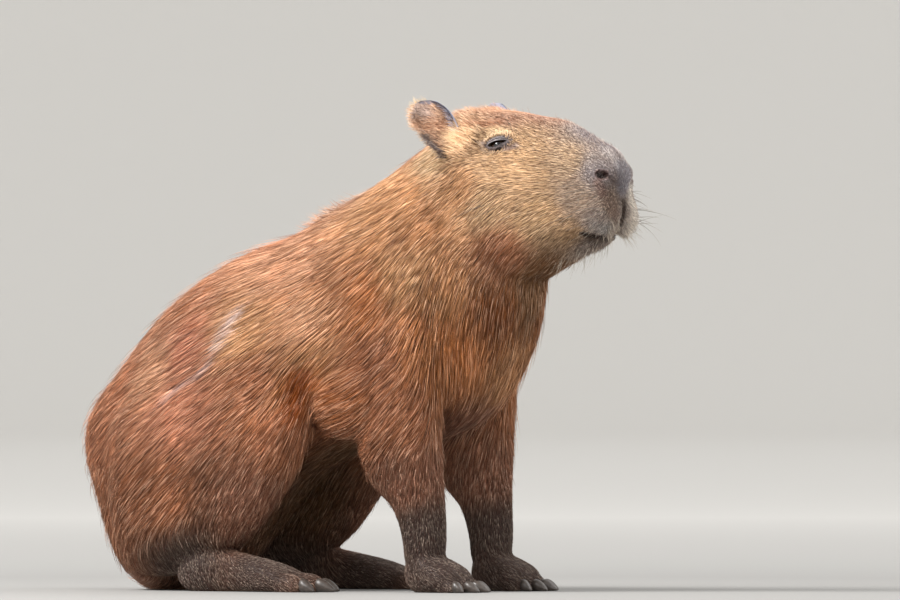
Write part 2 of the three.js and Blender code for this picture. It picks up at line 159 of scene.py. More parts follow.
# One colour for each point
def addColours(mesh, name, colours):
    attribute = mesh.color_attributes.new(name, "FLOAT_COLOR", "POINT")
    full = np.ones((len(colours), 4), np.float32)
    full[:, :3] = colours
    attribute.data.foreach_set("color", full.ravel())


# Faces of a grid of rings by spokes that closes round the spokes, and over the rings if bothWays
def gridQuads(count, spokes, bothWays=False):
    i, k = np.arange(count if bothWays else count - 1)[:, None], np.arange(spokes)[None]
    nextI, nextK = (i + 1) % count, (k + 1) % spokes
    corners = (i * spokes + k, i * spokes + nextK, nextI * spokes + nextK, nextI * spokes + k)
    return np.stack(corners, -1).reshape(-1, 4)


# Each face of four corners as two triangles
def halved(quads):
    return np.concatenate([quads[:, [0, 1, 2]], quads[:, [0, 2, 3]]])


# Six times the volume that triangles span with the origin: the sum of a times (b crossed with c)
def volumeOf(a, b, c):
    return (a * np.cross(b, c)).sum()


# A closed surface over rings, an array of rings by spokes by 3, with a pole at each end; its faces
# are turned round if the volume they enclose comes out negative
def closedLoft(rings, firstPole, lastPole):
    count, spokes = rings.shape[:2]
    points = np.concatenate([[firstPole], rings.reshape(-1, 3), [lastPole]])
    quads = 1 + gridQuads(count, spokes)
    k = np.arange(spokes)
    nextK = (k + 1) % spokes
    last = count * spokes + 1
    caps = np.concatenate([
        np.stack([np.zeros_like(k), 1 + nextK, 1 + k], -1),
        np.stack([np.full_like(k, last), last - spokes + k, last - spokes + nextK], -1),
    ])
    split = np.concatenate([halved(quads), caps])
    if volumeOf(*(points[split[:, i]] for i in range(3))) < 0:
        quads, caps = quads[:, ::-1], caps[:, ::-1]
    return points, quads, caps


# Several closed surfaces as one set of points and faces
def joinSurfaces(surfaces):
    starts = np.cumsum([0] + [len(points) for points, _, _ in surfaces])
    points = np.concatenate([points for points, _, _ in surfaces])
    quads = np.concatenate([quads + start for (_, quads, _), start in zip(surfaces, starts)])
    triangles = np.concatenate([caps + start for (_, _, caps), start in zip(surfaces, starts)])
    return points, quads, triangles


# The span of a curve that each t from 0 to 1 falls in, and the share of that span
def spanAt(count, t):
    place = np.clip(t, 0, 1) * (count - 1)
    k = np.minimum(place.astype(int), count - 2)
    return k, place - k


# The cubic from p1 to p2 that leaves with slope m1 and arrives with slope m2
def cubic(p1, p2, m1, m2, w):
    return p1 + w * m1 + w**2 * (3 * (p2 - p1) - 2 * m1 - m2) + w**3 * (2 * (p1 - p2) + m1 + m2)


# Centripetal Catmull-Rom curve through points, at every t from 0 to 1
def curveThrough(points, t):
    points = np.asarray(points, float)
    ends = np.vstack([2 * points[0] - points[1], points, 2 * points[-1] - points[-2]])
    k, w = spanAt(len(points), t)
    p0, p1, p2, p3 = (ends[k + i] for i in range(4))
    d0, d1, d2 = (np.linalg.norm(q - p, axis=1, keepdims=True) ** 0.5
                  for p, q in ((p0, p1), (p1, p2), (p2, p3)))
    m1 = ((p1 - p0) / d0 - (p2 - p0) / (d0 + d1) + (p2 - p1) / d1) * d1
    m2 = ((p2 - p1) / d1 - (p3 - p1) / (d1 + d2) + (p3 - p2) / d2) * d1
    return cubic(p1, p2, m1, m2, w[:, None])


# The same for single values, evenly spaced
def valueThrough(values, t):
    values = np.asarray(values, float)
    ends = np.concatenate([values[:1], values, values[-1:]])
    k, w = spanAt(len(values), t)
    p0, p1, p2, p3 = (ends[k + i] for i in range(4))
    return cubic(p1, p2, (p2 - p0) / 2, (p3 - p1) / 2, w)


# The body plan. A station gives a form's two edges in side view, high and low, how far out its
# middle is and half its width: (high x, high z, low x, low z, y, half). Inset is how far the skin
# lies inside the outline for the depth of the coat. First and last are the shares of the length
# that the caps take, lean how much wider the low edge is. What a form leaves out is in plainForm.
plainForm = {"power": 2.0, "lean": 0.0, "blunt": 2.0, "capRings": 12}
bodyPlan = {
    "trunk": {
        "stations": [
            (-238, 94, -222, 48, 0, 30), (-248, 146, -188, 0, 0, 66), (-258, 206, -150, -15, 0, 112),
            (-221, 265, -100, -4, 0, 135), (-164, 322, -40, 62, 0, 148), (-98, 372, 14, 122, 0, 154),
            (-34, 404, 76, 154, 0, 148), (22, 422, 136, 172, 0, 138), (68, 450, 200, 176, 0, 126),
            (110, 472, 266, 206, 0, 115), (145, 493, 307, 262, 0, 104), (175, 514, 327, 317, 0, 93),
            (203, 533, 334, 357, 0, 83), (234, 541, 338, 392, 0, 72),
        ],
        "power": 2.1, "lean": 0.12, "first": 0.08, "last": 0.05, "inset": 8.0, "rings": 110,
    },
    "skull": {
        "stations": [
            (206, 512, 262, 414, 0, 42), (220, 549, 290, 374, 0, 66), (254, 565, 322, 362, 0, 74),
            (302, 563, 350, 372, 0, 68), (344, 554, 378, 391, 0, 56), (382, 543, 406, 406, 0, 49),
            (412, 528, 430, 408, 0, 46), (442, 505, 457, 411, 0, 42),
        ],
        "power": 2.8, "lean": 0.14, "first": 0.08, "last": 0.1, "blunt": 3.2, "inset": 2.6, "rings": 90,
    },
    "chin": {
        "stations": [
            (310, 426, 334, 366, 0, 50), (360, 426, 374, 380, 0, 35), (396, 424, 404, 394, 0, 26),
            (434, 421, 431, 402, 0, 20),
        ],
        "first": 0.1, "last": 0.22, "inset": 2.0, "rings": 40,
    },
    "foreleg": {
        "stations": [
            (246, 352, 166, 362, 70, 36), (256, 290, 156, 285, 80, 41), (251, 235, 148, 220, 86, 41),
            (250, 190, 146, 168, 86, 37), (252, 148, 160, 128, 82, 32), (254, 108, 188, 98, 79, 27),
            (256, 66, 200, 62, 78, 26), (252, 30, 204, 28, 78, 25),
        ],
        "power": 2.1, "first": 0.12, "last": 0.05, "inset": 3.5, "rings": 70,
    },
    "palm": {
        "stations": [
            (206, 36, 206, 8, 78, 18), (230, 47, 230, -4, 79, 28), (258, 38, 258, -4, 80, 35),
            (284, 24, 284, -4, 80, 32),
        ],
        "power": 2.4, "first": 0.2, "last": 0.18, "inset": 1.2, "rings": 40,
    },
    "haunch": {
        "stations": [
            (-196, 172, -186, 62, 80, 30), (-156, 234, -152, 18, 99, 50), (-96, 278, -92, 12, 109, 53),
            (-28, 290, -20, 34, 112, 53), (38, 286, 44, 96, 113, 48), (100, 258, 92, 178, 112, 34),
        ],
        "power": 2.2, "first": 0.14, "last": 0.14, "inset": 8.0, "rings": 70,
    },
    "shin": {
        "stations": [
            (108, 240, 44, 232, 113, 34), (94, 196, 20, 172, 117, 37), (68, 142, -18, 108, 120, 34),
            (36, 92, -50, 62, 121, 28), (2, 52, -66, 30, 120, 22),
        ],
        "first": 0.2, "last": 0.14, "inset": 4.0, "rings": 50,
    },
    "flankFold": {
        "stations": [
            (58, 268, 72, 214, 94, 24), (100, 274, 108, 186, 98, 31), (140, 270, 148, 178, 98, 32),
            (182, 264, 186, 186, 92, 28), (216, 256, 216, 216, 84, 20),
        ],
        "power": 2.2, "first": 0.25, "last": 0.25, "inset": 3.0, "rings": 40,
    },
    "sole": {
        "stations": [
            (-78, 34, -80, 6, 120, 15), (-42, 50, -42, -4, 121, 23), (8, 44, 8, -4, 123, 24),
            (56, 34, 56, -4, 127, 31), (90, 22, 90, -4, 129, 29),
        ],
        "power": 2.4, "first": 0.12, "last": 0.14, "inset": 1.2, "rings": 50,
    },
}


toePlan = {
    "fore": {"count": 4, "x": 256, "y": 80, "pitch": 12, "fan": 0.6, "shorter": 0.7,
             "reach": 42, "radius": 9.5, "claw": 16},
    "hind": {"count": 3, "x": 66, "y": 129, "pitch": 17, "fan": 0.4, "shorter": 0.7,
             "reach": 52, "radius": 11, "claw": 19},
}
digitPlan = {
    "toe": {"power": 2.2, "first": 0.2, "last": 0.4, "inset": 0.8, "rings": 20, "spokes": 32},
    "claw": {"power": 2.2, "first": 0.2, "last": 0.25, "inset": 0.0, "rings": 14, "spokes": 16},
}


# A sine or cosine bent into a superellipse's: its size to the power of 2 / power, its sign kept
def bent(value, power):
    return np.sign(value) * np.abs(value) ** (2 / power)


# One form of the plan: rings whose high and low edges follow their curves, with a superellipse
# between them, drawn in to rounded caps at both ends
def bodyForm(form, side=1, spokes=96):
    form = {**plainForm, **form}
    first, last, blunt, power = (form[key] for key in ("first", "last", "blunt", "power"))
    cap = 1 - np.cos(np.linspace(0, math.pi / 2, form["capRings"] + 1)[1:]) ** (2 / blunt)
    between = np.linspace(0, 1, form["rings"] + 2)[1:-1]
    t = np.concatenate([first * cap, first + (1 - first - last) * between, 1 - last * cap[::-1]])
    left = np.maximum(0, np.maximum(1 - t / first, 1 - (1 - t) / last))
    size = (np.maximum(1 - left**blunt, 0) ** (1 / blunt))[:, None]
    hx, hz, lx, lz, y, half = np.array(form["stations"], float).T
    edges = [np.stack([x, side * y, z], 1) for x, z in ((hx, hz), (lx, lz))]
    high, low = (curveThrough(edge, t) for edge in edges)
    rise = (high - low) / 2
    reach = np.linalg.norm(rise, axis=1, keepdims=True)
    angle = turnsOf(spokes)
    along = bent(np.cos(angle), power)[None, :]
    wide = valueThrough(half, t)[:, None] * (1 - form["lean"] * along)
    grow = -form["inset"] * size
    up = along * (reach * size + grow)
    rings = ((high + low) / 2)[:, None, :] + up[..., None] * (rise / reach)[:, None, :]
    rings[..., 1] += bent(np.sin(angle), power)[None, :] * (wide * size + grow)
    poles = sum(curveThrough(edge, np.array([0.0, 1.0])) for edge in edges) / 2
    return closedLoft(rings, *poles)


# A toe or a claw: stations (reach, high, low, half) along a heading that fans out from the foot, the
# outer ones shorter; high and half count in the toe's radius
def digitForm(kind, plan, side, k, stations):
    share = k / (plan["count"] - 1) - 0.5
    spread = share * plan["fan"]
    length = 1 - plan["shorter"] * abs(spread)
    rootY = plan["y"] + share * (plan["count"] - 1) * plan["pitch"]
    r = plan["radius"]
    rows = []
    for reach, high, low, half in stations:
        x = plan["x"] + math.cos(spread) * reach * length
        rows.append((x, high * r, x, low, rootY + math.sin(spread) * reach * length, half * r))
    return bodyForm({"stations": rows, **digitPlan[kind]}, side, digitPlan[kind]["spokes"])


# Blunt and low at its tip
def toeForm(plan, side, k):
    reach = plan["reach"]
    return digitForm("toe", plan, side, k, [
        (0, 2, -4, 1), (reach * 0.55, 1.9, -4, 1), (reach, 1.3, -3, 0.82),
    ])


# From inside the tip of the toe out beyond it
def clawForm(plan, side, k):
    reach = plan["reach"]
    return digitForm("claw", plan, side, k, [
        (reach - 6, 1.5, 1, 0.62), (reach + 2, 1.4, -1, 0.74), (reach + plan["claw"], 0.45, -1, 0.4),
    ])


# Skin: all forms as one surface. While the surface is made anew, lenses magnify the face, the muzzle
# and the feet, so that these get finer faces than the rest: (place, reach, power). Rounds of
# smoothing move each point towards its neighbours and back: (rounds, share there, share back). The
# broad ones spare the head, from a slanting plane on, and the feet, from a height down.
skinPlan = {
    "lenses": [
        ((385, 0, 480), 130.0, 3.0), ((440, 0, 455), 45.0, 2.4),
        ((275, 80, 20), 60.0, 1.6), ((275, -80, 20), 60.0, 1.6),
        ((70, 126, 20), 70.0, 1.6), ((70, -126, 20), 70.0, 1.6),
    ],
    "voxel": 7.7, "fine": (7, 0.5, -0.52), "broad": (22, 0.6, -0.45),
    "headFrom": (330, 200), "headSlope": 0.3, "headLevel": 460,
    "feetFrom": (70, 40), "feetSpared": 0.85, "leastBroad": 0.12,
    "alone": ("trunk", "skull", "chin"),
    "paired": ("foreleg", "palm", "haunch", "shin", "flankFold", "sole"),
}


# One lens: a distance d from its centre becomes d + (power - 1) reach (1 - exp(-d / reach))
def throughLens(points, centre, reach, power, back=False):
    away = points - centre
    distance = np.linalg.norm(away, axis=1)
    plain = np.linspace(0, 3000, 12000)
    grown = plain + (power - 1) * reach * (1 - np.exp(-plain / reach))
    source, result = (grown, plain) if back else (plain, grown)
    return centre + away * (np.interp(distance, source, result) / np.maximum(distance, 1e-9))[:, None]


# All the lenses in turn, each at the place where the ones before it have moved its centre
def magnify(points, lenses, back=False):
    steps = []
    for place, reach, power in lenses:
        centre = np.array([place], float)
        for step in steps:
            centre = throughLens(centre, *step)
        steps.append((centre[0], reach, power))
    for step in steps[::-1] if back else steps:
        points = throughLens(points, *step, back)
    return points


# The closed surfaces of the joined forms as one: Blender's voxel remesh, which gives four-sided faces
def remeshed(points, quads, triangles, voxel):
    piece = addPiece("rough", makeMesh("rough", points, [quads, triangles]))
    remesh = piece.modifiers.new("remesh", "REMESH")
    remesh.mode = "VOXEL"
    remesh.voxel_size = voxel
    mesh = piece.evaluated_get(bpy.context.evaluated_depsgraph_get()).data
    newPoints = np.empty(len(mesh.vertices) * 3, np.float32)
    mesh.vertices.foreach_get("co", newPoints)
    newQuads = np.empty(len(mesh.loops), np.int32)
    mesh.loops.foreach_get("vertex_index", newQuads)
    bpy.data.objects.remove(piece)
    return newPoints.reshape(-1, 3).astype(float), newQuads.reshape(-1, 4)


# Every point moves by its share towards the mean of its neighbours
def relax(points, edges, share):
    a, b = edges.T
    count = np.bincount(np.concatenate([a, b]), minlength=len(points))
    mean = np.stack([
        np.bincount(a, points[b, axis], len(points)) + np.bincount(b, points[a, axis], len(points))
        for axis in range(3)
    ], 1) / count[:, None]
    return points + share * (mean - points)


# Normal of each point: the mean of the crossed diagonals of its faces
def normalsOf(points, quads):
    a, b, c, d = (points[quads[:, i]] for i in range(4))
    cross = np.cross(c - a, d - b)
    total = np.stack([
        np.bincount(quads.ravel(), np.repeat(cross[:, axis], 4), len(points)) for axis in range(3)
    ], 1)
    return total / np.linalg.norm(total, axis=1, keepdims=True)


# Soft mounds and hollows of face and rump: a bell of (place, radii) that moves the skin outwards
skinForms = {
    "brow": ((306, 58, 543), (26, 16, 9), 3.0),
    "eyeMound": ((313, 62, 521), (27, 14, 15), 3.4),
    "cheek": ((300, 72, 436), (46, 34, 42), 4.0),
    "cheekHollow": ((376, 54, 466), (26, 20, 36), -2.6),
    "underEye": ((350, 58, 500), (26, 16, 12), -2.2),
    "lipPad": ((428, 40, 434), (20, 18, 18), 3.2),
    "nostrilRim": ((437, 36, 486), (14, 11, 11), 3.2),
    "nostrilWing": ((444, 22, 491), (9, 10, 6), 2.4),
    "noseSide": ((446, 24, 464), (10, 12, 12), -2.6),
    "lipFront": ((454, 24, 422), (12, 18, 14), -5.0),
    "lipValley": ((452, 0, 426), (14, 9, 17), -8.0),
    "lipNotch": ((450, 0, 414), (12, 11, 10), -7.0),
    "earRoot": ((238, 62, 520), (20, 20, 22), 2.5),
    "noseTop": ((440, 0, 512), (20, 28, 20), 10.0),
    "bridge": ((376, 0, 550), (30, 30, 14), 4.5),
    "crownTop": ((262, 0, 568), (40, 40, 16), -2.5),
    "noseTip": ((446, 0, 484), (14, 30, 16), 8.0),
    "lipLow": ((450, 0, 412), (12, 26, 8), -1.0),
    "chin": ((396, 0, 396), (34, 26, 14), -2.5),
    "rumpTop": ((-212, 0, 272), (56, 90, 46), -9.5),
    "rumpBack": ((-236, 0, 90), (70, 140, 72), -20.0),
}


# Narrow furrows: paths on the skin that it sinks along, with how deep and how wide
furrows = {
    "nostril": {"path": [(436.5, 34, 486.5), (439, 32.5, 486), (441.5, 30.5, 485.5)],
                "deep": 19.0, "wide": 3.8},
    "nostrilTail": {"path": [(442, 26, 484), (443, 18, 479), (445, 11, 477)], "deep": 2.4, "wide": 2.2},
    "cleft": {"path": [(448, 0, 452), (448, 0, 440), (447, 0, 428), (444, 0, 416)],
              "deep": 2.4, "wide": 2.6},
    "mouth": {"path": [(437, 0, 410), (436, 12, 411), (434, 20, 412), (429, 27, 414), (421, 31, 416),
                       (416, 32.5, 417)], "deep": 13.0, "wide": 4.4},
    "stifle": {"path": [(92, 132, 268), (90, 132, 252), (86, 136, 232), (82, 141, 208)],
               "deep": 1.6, "wide": 11.0},
}
pathStops = np.linspace(0, 1, 40)  # where paths on the skin are worked out


# Distance to the nearest stop of a path
def distanceToPath(points, path):
    line = curveThrough(path, pathStops) if len(path) < len(pathStops) else path
    nearest = np.full(len(points), np.inf)
    for spot in line:
        nearest = np.minimum(nearest, ((points - spot) ** 2).sum(1))
    return np.sqrt(nearest)


# A path drawn near the skin: its stops move to the nearest points, then each to its neighbours' mean
def laidOn(points, path):
    line = curveThrough(path, pathStops)
    line = np.stack([points[((points - spot) ** 2).sum(1).argmin()] for spot in line])
    for _ in range(6):
        line[1:-1] = (line[:-2] + line[1:-1] * 2 + line[2:]) / 4
    return line


# Eye, in the plan: centre of the ball, and the lids' dome with the slit between them
eyePlan = {
    "centre": (312, 48, 522), "radius": 11.0, "facing": (0.2, 0.97, 0.14), "tilt": 0.3,
    "fuller": 0.035, "fullTo": 0.55, "rings": 34, "spokes": 48, "pit": 9.0,
    "lidLong": 20.5, "lidHigh": 10.6, "lidDeep": 12.7, "lidThick": 1.5,
    "slitLong": 11.6, "slitUp": 2.6, "slitDown": 3.0, "drop": 2.6,
}


# Axes at an eye: forwards along the slit, upwards across it, and outwards
def eyeAxes(side):
    out = atSide(eyePlan["facing"], side)
    out /= np.linalg.norm(out)
    level = np.array([1.0, 0, 0]) - out[0] * out
    level /= np.linalg.norm(level)
    rise = np.cross(out, level) * -side
    tilt = eyePlan["tilt"]
    forward = level * math.cos(tilt) + rise * math.sin(tilt)
    return forward, rise * math.cos(tilt) - level * math.sin(tilt), out


# How far forwards, upwards and outwards of an eye's centre each point is
def eyeCoordinates(points, side):
    offset = points - atSide(eyePlan["centre"], side)
    return [offset @ axis for axis in eyeAxes(side)]


# Squared distance from an eye's axis, where 1 is the rim of the lids
def lidOval(x, y):
    return (x / eyePlan["lidLong"]) ** 2 + (y / eyePlan["lidHigh"]) ** 2


# Smoothed by rounds there and back, the head and the feet less than the body
def smoothed(points, quads, plan):
    ring = quads[:, [0, 1, 1, 2, 2, 3, 3, 0]].reshape(-1, 2)
    edges = np.unique(np.sort(ring, axis=1), axis=0)
    ahead = points[:, 0] + plan["headSlope"] * (points[:, 2] - plan["headLevel"])
    onBody = smoothStep(*plan["headFrom"], ahead)[:, None]
    onFoot = smoothStep(*plan["feetFrom"], points[:, 2])[:, None]
    soft = np.maximum(onBody * (1 - plan["feetSpared"] * onFoot), plan["leastBroad"])
    for (rounds, there, back), amount in ((plan["fine"], 1.0), (plan["broad"], soft)):
        for _ in range(rounds):
            points = relax(points, edges, there * amount)
            points = relax(points, edges, back * amount)
    return points


# How far each point sinks into the furrows, which get shallower towards their ends
def furrowsAt(points):
    sink = np.zeros(len(points))
    for furrow in furrows.values():
        for share, spot in zip(pathStops, furrow["path"]):
            near = np.sqrt(((points - spot) ** 2).sum(1))
            deep = furrow["deep"] * min(1, 0.4 + 6 * share, 0.25 + 5 * (1 - share))
            sink = np.maximum(sink, deep * smoothStep(furrow["wide"] * 1.4, furrow["wide"] * 0.6, near))
    return sink


# How far each point sinks behind the lids
def eyePitsAt(points):
    pit = np.zeros(len(points))
    for side in sides.values():
        x, y, z = eyeCoordinates(points, side)
        inside = smoothStep(0.86, 0.6, np.sqrt(lidOval(x, y))) * (z > 0)
        pit = np.maximum(pit, eyePlan["pit"] * inside)
    return pit


# The forms joined, smoothed, raised by the mounds along their normals and sunk at furrows and eyes
def makeSkin(plan):
    surfaces = [bodyForm(bodyPlan[name]) for name in plan["alone"]]
    for side in sides.values():
        surfaces += [bodyForm(bodyPlan[name], side) for name in plan["paired"]]
        surfaces += [toeForm(toes, side, k) for toes in toePlan.values() for k in range(toes["count"])]
    points, quads, triangles = joinSurfaces(surfaces)
    points, quads = remeshed(magnify(points, plan["lenses"]), quads, triangles, plan["voxel"])
    points = smoothed(magnify(points, plan["lenses"], back=True), quads, plan)
    normals = normalsOf(points, quads)
    mirrored = onLeft(points)
    move = np.zeros(len(points))
    for place, radii, amount in skinForms.values():
        move += amount * np.exp(-(((mirrored - place) / radii) ** 2).sum(1))
    points = points + normals * move[:, None]
    mirrored = onLeft(points)
    for furrow in furrows.values():
        furrow["path"] = laidOn(mirrored, furrow["path"])
    sink = furrowsAt(mirrored)
    points = points - normals * np.maximum(sink, eyePitsAt(points))[:, None]
    points[:, 2] = np.maximum(points[:, 2], overFloor["skin"])
    print("skin:", len(points), "points")
    return points, quads, sink


skinPoints, skinQuads, skinSink = makeSkin(skinPlan)


# The coat, guide by guide: where it is on the body, which way the hair lies, its length and tone.
# Between guides all of these blend.
coatTones = {
    "slate": (0.21, 0.18, 0.18), "ash": (0.40, 0.34, 0.305), "smoke": (0.25, 0.205, 0.18),
    "mushroom": (0.34, 0.245, 0.175), "wheat": (0.45, 0.31, 0.19),
    "fawn": (0.55, 0.35, 0.19), "sand": (0.66, 0.46, 0.27), "gold": (0.58, 0.31, 0.145),
    "tawny": (0.49, 0.23, 0.095), "rose": (0.60, 0.31, 0.175), "blush": (0.68, 0.37, 0.21),
    "cinnamon": (0.42, 0.21, 0.115), "chestnut": (0.30, 0.15, 0.09), "russet": (0.48, 0.185, 0.085),
    "salmon": (0.59, 0.25, 0.14), "rust": (0.47, 0.18, 0.06), "auburn": (0.39, 0.15, 0.065),
    "ember": (0.34, 0.11, 0.03), "umber": (0.21, 0.095, 0.033), "plum": (0.33, 0.14, 0.08),
    "charcoal": (0.07, 0.048, 0.04), "bay": (0.25, 0.125, 0.08), "brick": (0.50, 0.195, 0.11),
    "copper": (0.57, 0.215, 0.068), "mahogany": (0.26, 0.08, 0.016), "straw": (0.64, 0.41, 0.22),
    "honey": (0.66, 0.35, 0.165), "pearl": (0.26, 0.215, 0.20),
}
coatGuides = {
    "noseTip": ((456, 0, 482), (0.3, 0.6, 0.6), 3.5, "slate"),
    # Top and bridge of the nose: pearl, paler partly as painted light from above
    "noseTop": ((436, 0, 512), (-1, 0, 0.6), 5, "pearl"),
    "noseBridge": ((405, 0, 534), (-1, 0, 0.45), 7, "pearl"),
    "noseSide": ((436, 40, 502), (-1, 0.2, 0.3), 5, "ash"),
    "nostril": ((438, 36, 488), (-0.6, 0.5, 0.8), 3, "slate"),
    "forehead": ((345, 0, 556), (-1, 0, 0.15), 9, "bay"),
    "crown": ((290, 0, 566), (-1, 0, 0), 11, "cinnamon"),
    "occiput": ((235, 0, 556), (-1, 0, -0.4), 17, "cinnamon"),
    "muzzleFront": ((460, 2, 450), (-0.1, 0.5, -0.8), 5, "smoke"),
    "muzzleMid": ((449, 28, 450), (-0.5, 0.5, -0.7), 5, "mushroom"),
    "lipFront": ((458, 4, 424), (-0.2, 0.6, -1), 6, "ash"),
    "lipMid": ((446, 31, 424), (-1, 0.2, -0.2), 5, "ash"),
    "lipSide": ((438, 40, 434), (-0.9, 0, -0.6), 6, "smoke"),
    "muzzleSide": ((415, 50, 458), (-1, 0, -0.25), 7, "mushroom"),
    "noseFlank": ((400, 46, 505), (-1, 0, 0.1), 8, "wheat"),
    "cheekFront": ((368, 56, 440), (-0.9, 0, -0.45), 17, "straw"),
    "faceSide": ((355, 60, 490), (-1, 0, -0.12), 14, "fawn"),
    "mouthCorner": ((400, 45, 415), (-0.9, 0, -0.5), 11, "fawn"),
    "underEye": ((318, 68, 498), (-1, 0, -0.12), 10, "fawn"),
    "overEye": ((312, 58, 540), (-1, 0, 0.1), 9, "sand"),
    "browTop": ((312, 40, 556), (-1, 0.1, 0), 10, "chestnut"),
    "beforeEye": ((342, 56, 524), (-1, 0, 0.15), 9, "fawn"),
    "temple": ((275, 70, 525), (-1, 0, -0.15), 14, "fawn"),
    "cheek": ((310, 74, 450), (-0.75, 0, -0.7), 24, "fawn"),
    # cheekLow, jawUnder, throat and neckFront take darker, richer tones, partly as painted shade
    # beneath the head
    "cheekLow": ((320, 60, 395), (-0.65, 0, -0.75), 26, "auburn"),
    "cheekBack": ((265, 78, 470), (-0.65, 0, -0.75), 26, "gold"),
    "jawUnder": ((350, 20, 380), (-0.85, 0, -0.5), 18, "umber"),
    "chin": ((415, 12, 400), (-0.95, 0, -0.35), 10, "smoke"),
    "chinTip": ((436, 8, 408), (-0.9, 0, -0.35), 7, "smoke"),
    "throat": ((330, 0, 345), (-0.25, 0, -1), 32, "umber"),
    "nape": ((190, 0, 515), (-0.85, 0, -0.5), 34, "russet"),
    "neckStreak": ((218, 48, 502), (-0.8, 0.1, -0.6), 34, "sand"),
    "neckStreakLow": ((187, 64, 462), (-0.8, 0.1, -0.6), 38, "honey"),
    "neckTop": ((150, 70, 470), (-0.82, 0.15, -0.5), 40, "honey"),
    "neckSide": ((225, 94, 430), (-0.62, 0, -0.78), 38, "tawny"),
    "neckLow": ((255, 92, 350), (-0.27, 0, -1), 42, "tawny"),
    # Front of the neck: mahogany, dark partly as painted shade beneath the head
    "neckFront": ((305, 55, 320), (-0.22, 0, -1), 42, "mahogany"),
    "chestFront": ((292, 0, 250), (0.0, 0, -1), 46, "tawny"),
    "chestSide": ((265, 75, 265), (0.02, 0, -1), 46, "copper"),
    "brisket": ((240, 0, 195), (-0.2, 0, -1), 44, "plum"),
    "withers": ((100, 0, 468), (-0.85, 0, -0.42), 46, "chestnut"),
    "shoulder": ((165, 122, 335), (-0.62, 0, -0.75), 44, "rust"),
    "shoulderTop": ((213, 108, 365), (-0.5, 0, -0.85), 42, "gold"),
    "parting": ((245, 115, 290), (-0.35, 0, -0.94), 44, "rust"),
    "shoulderLow": ((180, 128, 265), (-0.77, 0, -0.64), 42, "auburn"),
    "elbow": ((215, 120, 205), (-0.65, 0, -0.76), 36, "auburn"),
    "backMid": ((0, 0, 414), (-0.88, 0, -0.42), 50, "russet"),
    "flankTop": ((40, 115, 395), (-0.85, 0.15, -0.55), 48, "rose"),
    # Flank: blush, paler partly as painted light
    "flank": ((93, 148, 300), (-0.78, 0, -0.62), 46, "blush"),
    "belly": ((135, 130, 215), (-0.92, 0, -0.38), 38, "ember"),
    "bellyLow": ((136, 108, 182), (-0.92, 0, -0.38), 34, "auburn"),
    "bellyMid": ((100, 0, 170), (-1, 0, -0.2), 30, "umber"),
    "backRear": ((-120, 0, 358), (-0.8, 0, -0.58), 50, "auburn"),
    "backRearSide": ((-110, 100, 340), (-0.85, 0.1, -0.5), 50, "auburn"),
    "flankRear": ((-70, 150, 285), (-0.82, 0, -0.58), 48, "brick"),
    "rumpTop": ((-212, 0, 275), (-0.8, 0, -0.62), 48, "salmon"),
    "rumpBack": ((-255, 0, 195), (-0.6, 0, -0.85), 44, "brick"),
    "rumpLow": ((-240, 0, 95), (0.0, 0, -1), 34, "auburn"),
    "hip": ((-180, 110, 262), (-0.92, 0.1, -0.38), 50, "russet"),
    "hipFront": ((-115, 130, 260), (-0.92, 0.1, -0.38), 50, "rose"),
    "rumpSide": ((-215, 85, 180), (-0.8, 0, -0.6), 48, "russet"),
    "rumpSideLow": ((-195, 100, 95), (-0.55, 0, -0.85), 40, "auburn"),
    "haunch": ((-60, 162, 215), (-0.78, 0, -0.62), 46, "salmon"),
    "haunchLow": ((-90, 155, 110), (-0.7, 0, -0.7), 40, "auburn"),
    "fold": ((88, 136, 238), (-0.5, 0, -0.88), 40, "rust"),
    "foldAbove": ((100, 146, 278), (-0.7, 0, -0.72), 44, "tawny"),
    "loin": ((8, 150, 300), (-0.8, 0, -0.6), 47, "gold"),
    "foldRear": ((30, 160, 245), (-0.74, 0, -0.66), 46, "auburn"),
    "knee": ((85, 140, 175), (-0.6, 0, -0.8), 30, "russet"),
    "shank": ((30, 140, 95), (-0.5, 0, -0.85), 20, "plum"),
    "heel": ((-60, 125, 30), (0.4, 0, -0.6), 8, "charcoal"),
    "innerThigh": ((-20, 70, 110), (-0.5, 0, -0.85), 20, "umber"),
    "forearm": ((215, 85, 130), (-0.1, 0, -1), 16, "plum"),
    "wrist": ((230, 80, 70), (0.05, 0, -1), 9, "charcoal"),
    "forefoot": ((270, 80, 25), (1, 0, -0.5), 6, "charcoal"),
    "hindfoot": ((50, 125, 30), (1, 0, -0.35), 6, "charcoal"),
    "seat": ((-190, 0, 5), (-1, 0, -0.1), 20, "plum"),
}


# How guides blend near their places and near the midline, and how the hair turns round the eyes
combPlan = {"soft": 30.0, "midline": 12, "eyeLong": 20, "eyeHigh": 12, "eyePull": 1.6, "eyeUp": 2.5}


# What the guides say at each point: weights fall with the fourth power of the distance, and the
# left side mirrors the right
def combAt(points):
    places, lies, lengths, names = zip(*coatGuides.values())
    places, lies = np.array(places, float), unit(np.array(lies, float))
    tones = np.array([coatTones[name] for name in names])
    mirrored = onLeft(points)
    weights = np.empty((len(points), len(places)))
    for k, place in enumerate(places):
        weights[:, k] = ((mirrored - place) ** 2).sum(1)
    weights = 1 / (weights + combPlan["soft"]) ** 2
    weights /= weights.sum(1, keepdims=True)
    lie = weights @ lies
    side = np.where(points[:, 1:2] < 0, -1.0, 1.0)
    lie[:, 1:2] *= side * np.clip(mirrored[:, 1:2] / combPlan["midline"], 0, 1)
    return lie, weights @ np.array(lengths, float), weights @ tones


# A smooth random value of a place, from a few waves of different heading
def ripple(points, size, seed):
    rng = np.random.default_rng(seed)
    total = np.zeros(len(points))
    for _ in range(7):
        wave = rng.normal(size=3)
        wave *= 2 * math.pi / size * rng.uniform(0.6, 1.6) / np.linalg.norm(wave)
        total += np.sin(points @ wave + rng.uniform(0, 2 * math.pi))
    return total / 7**0.5


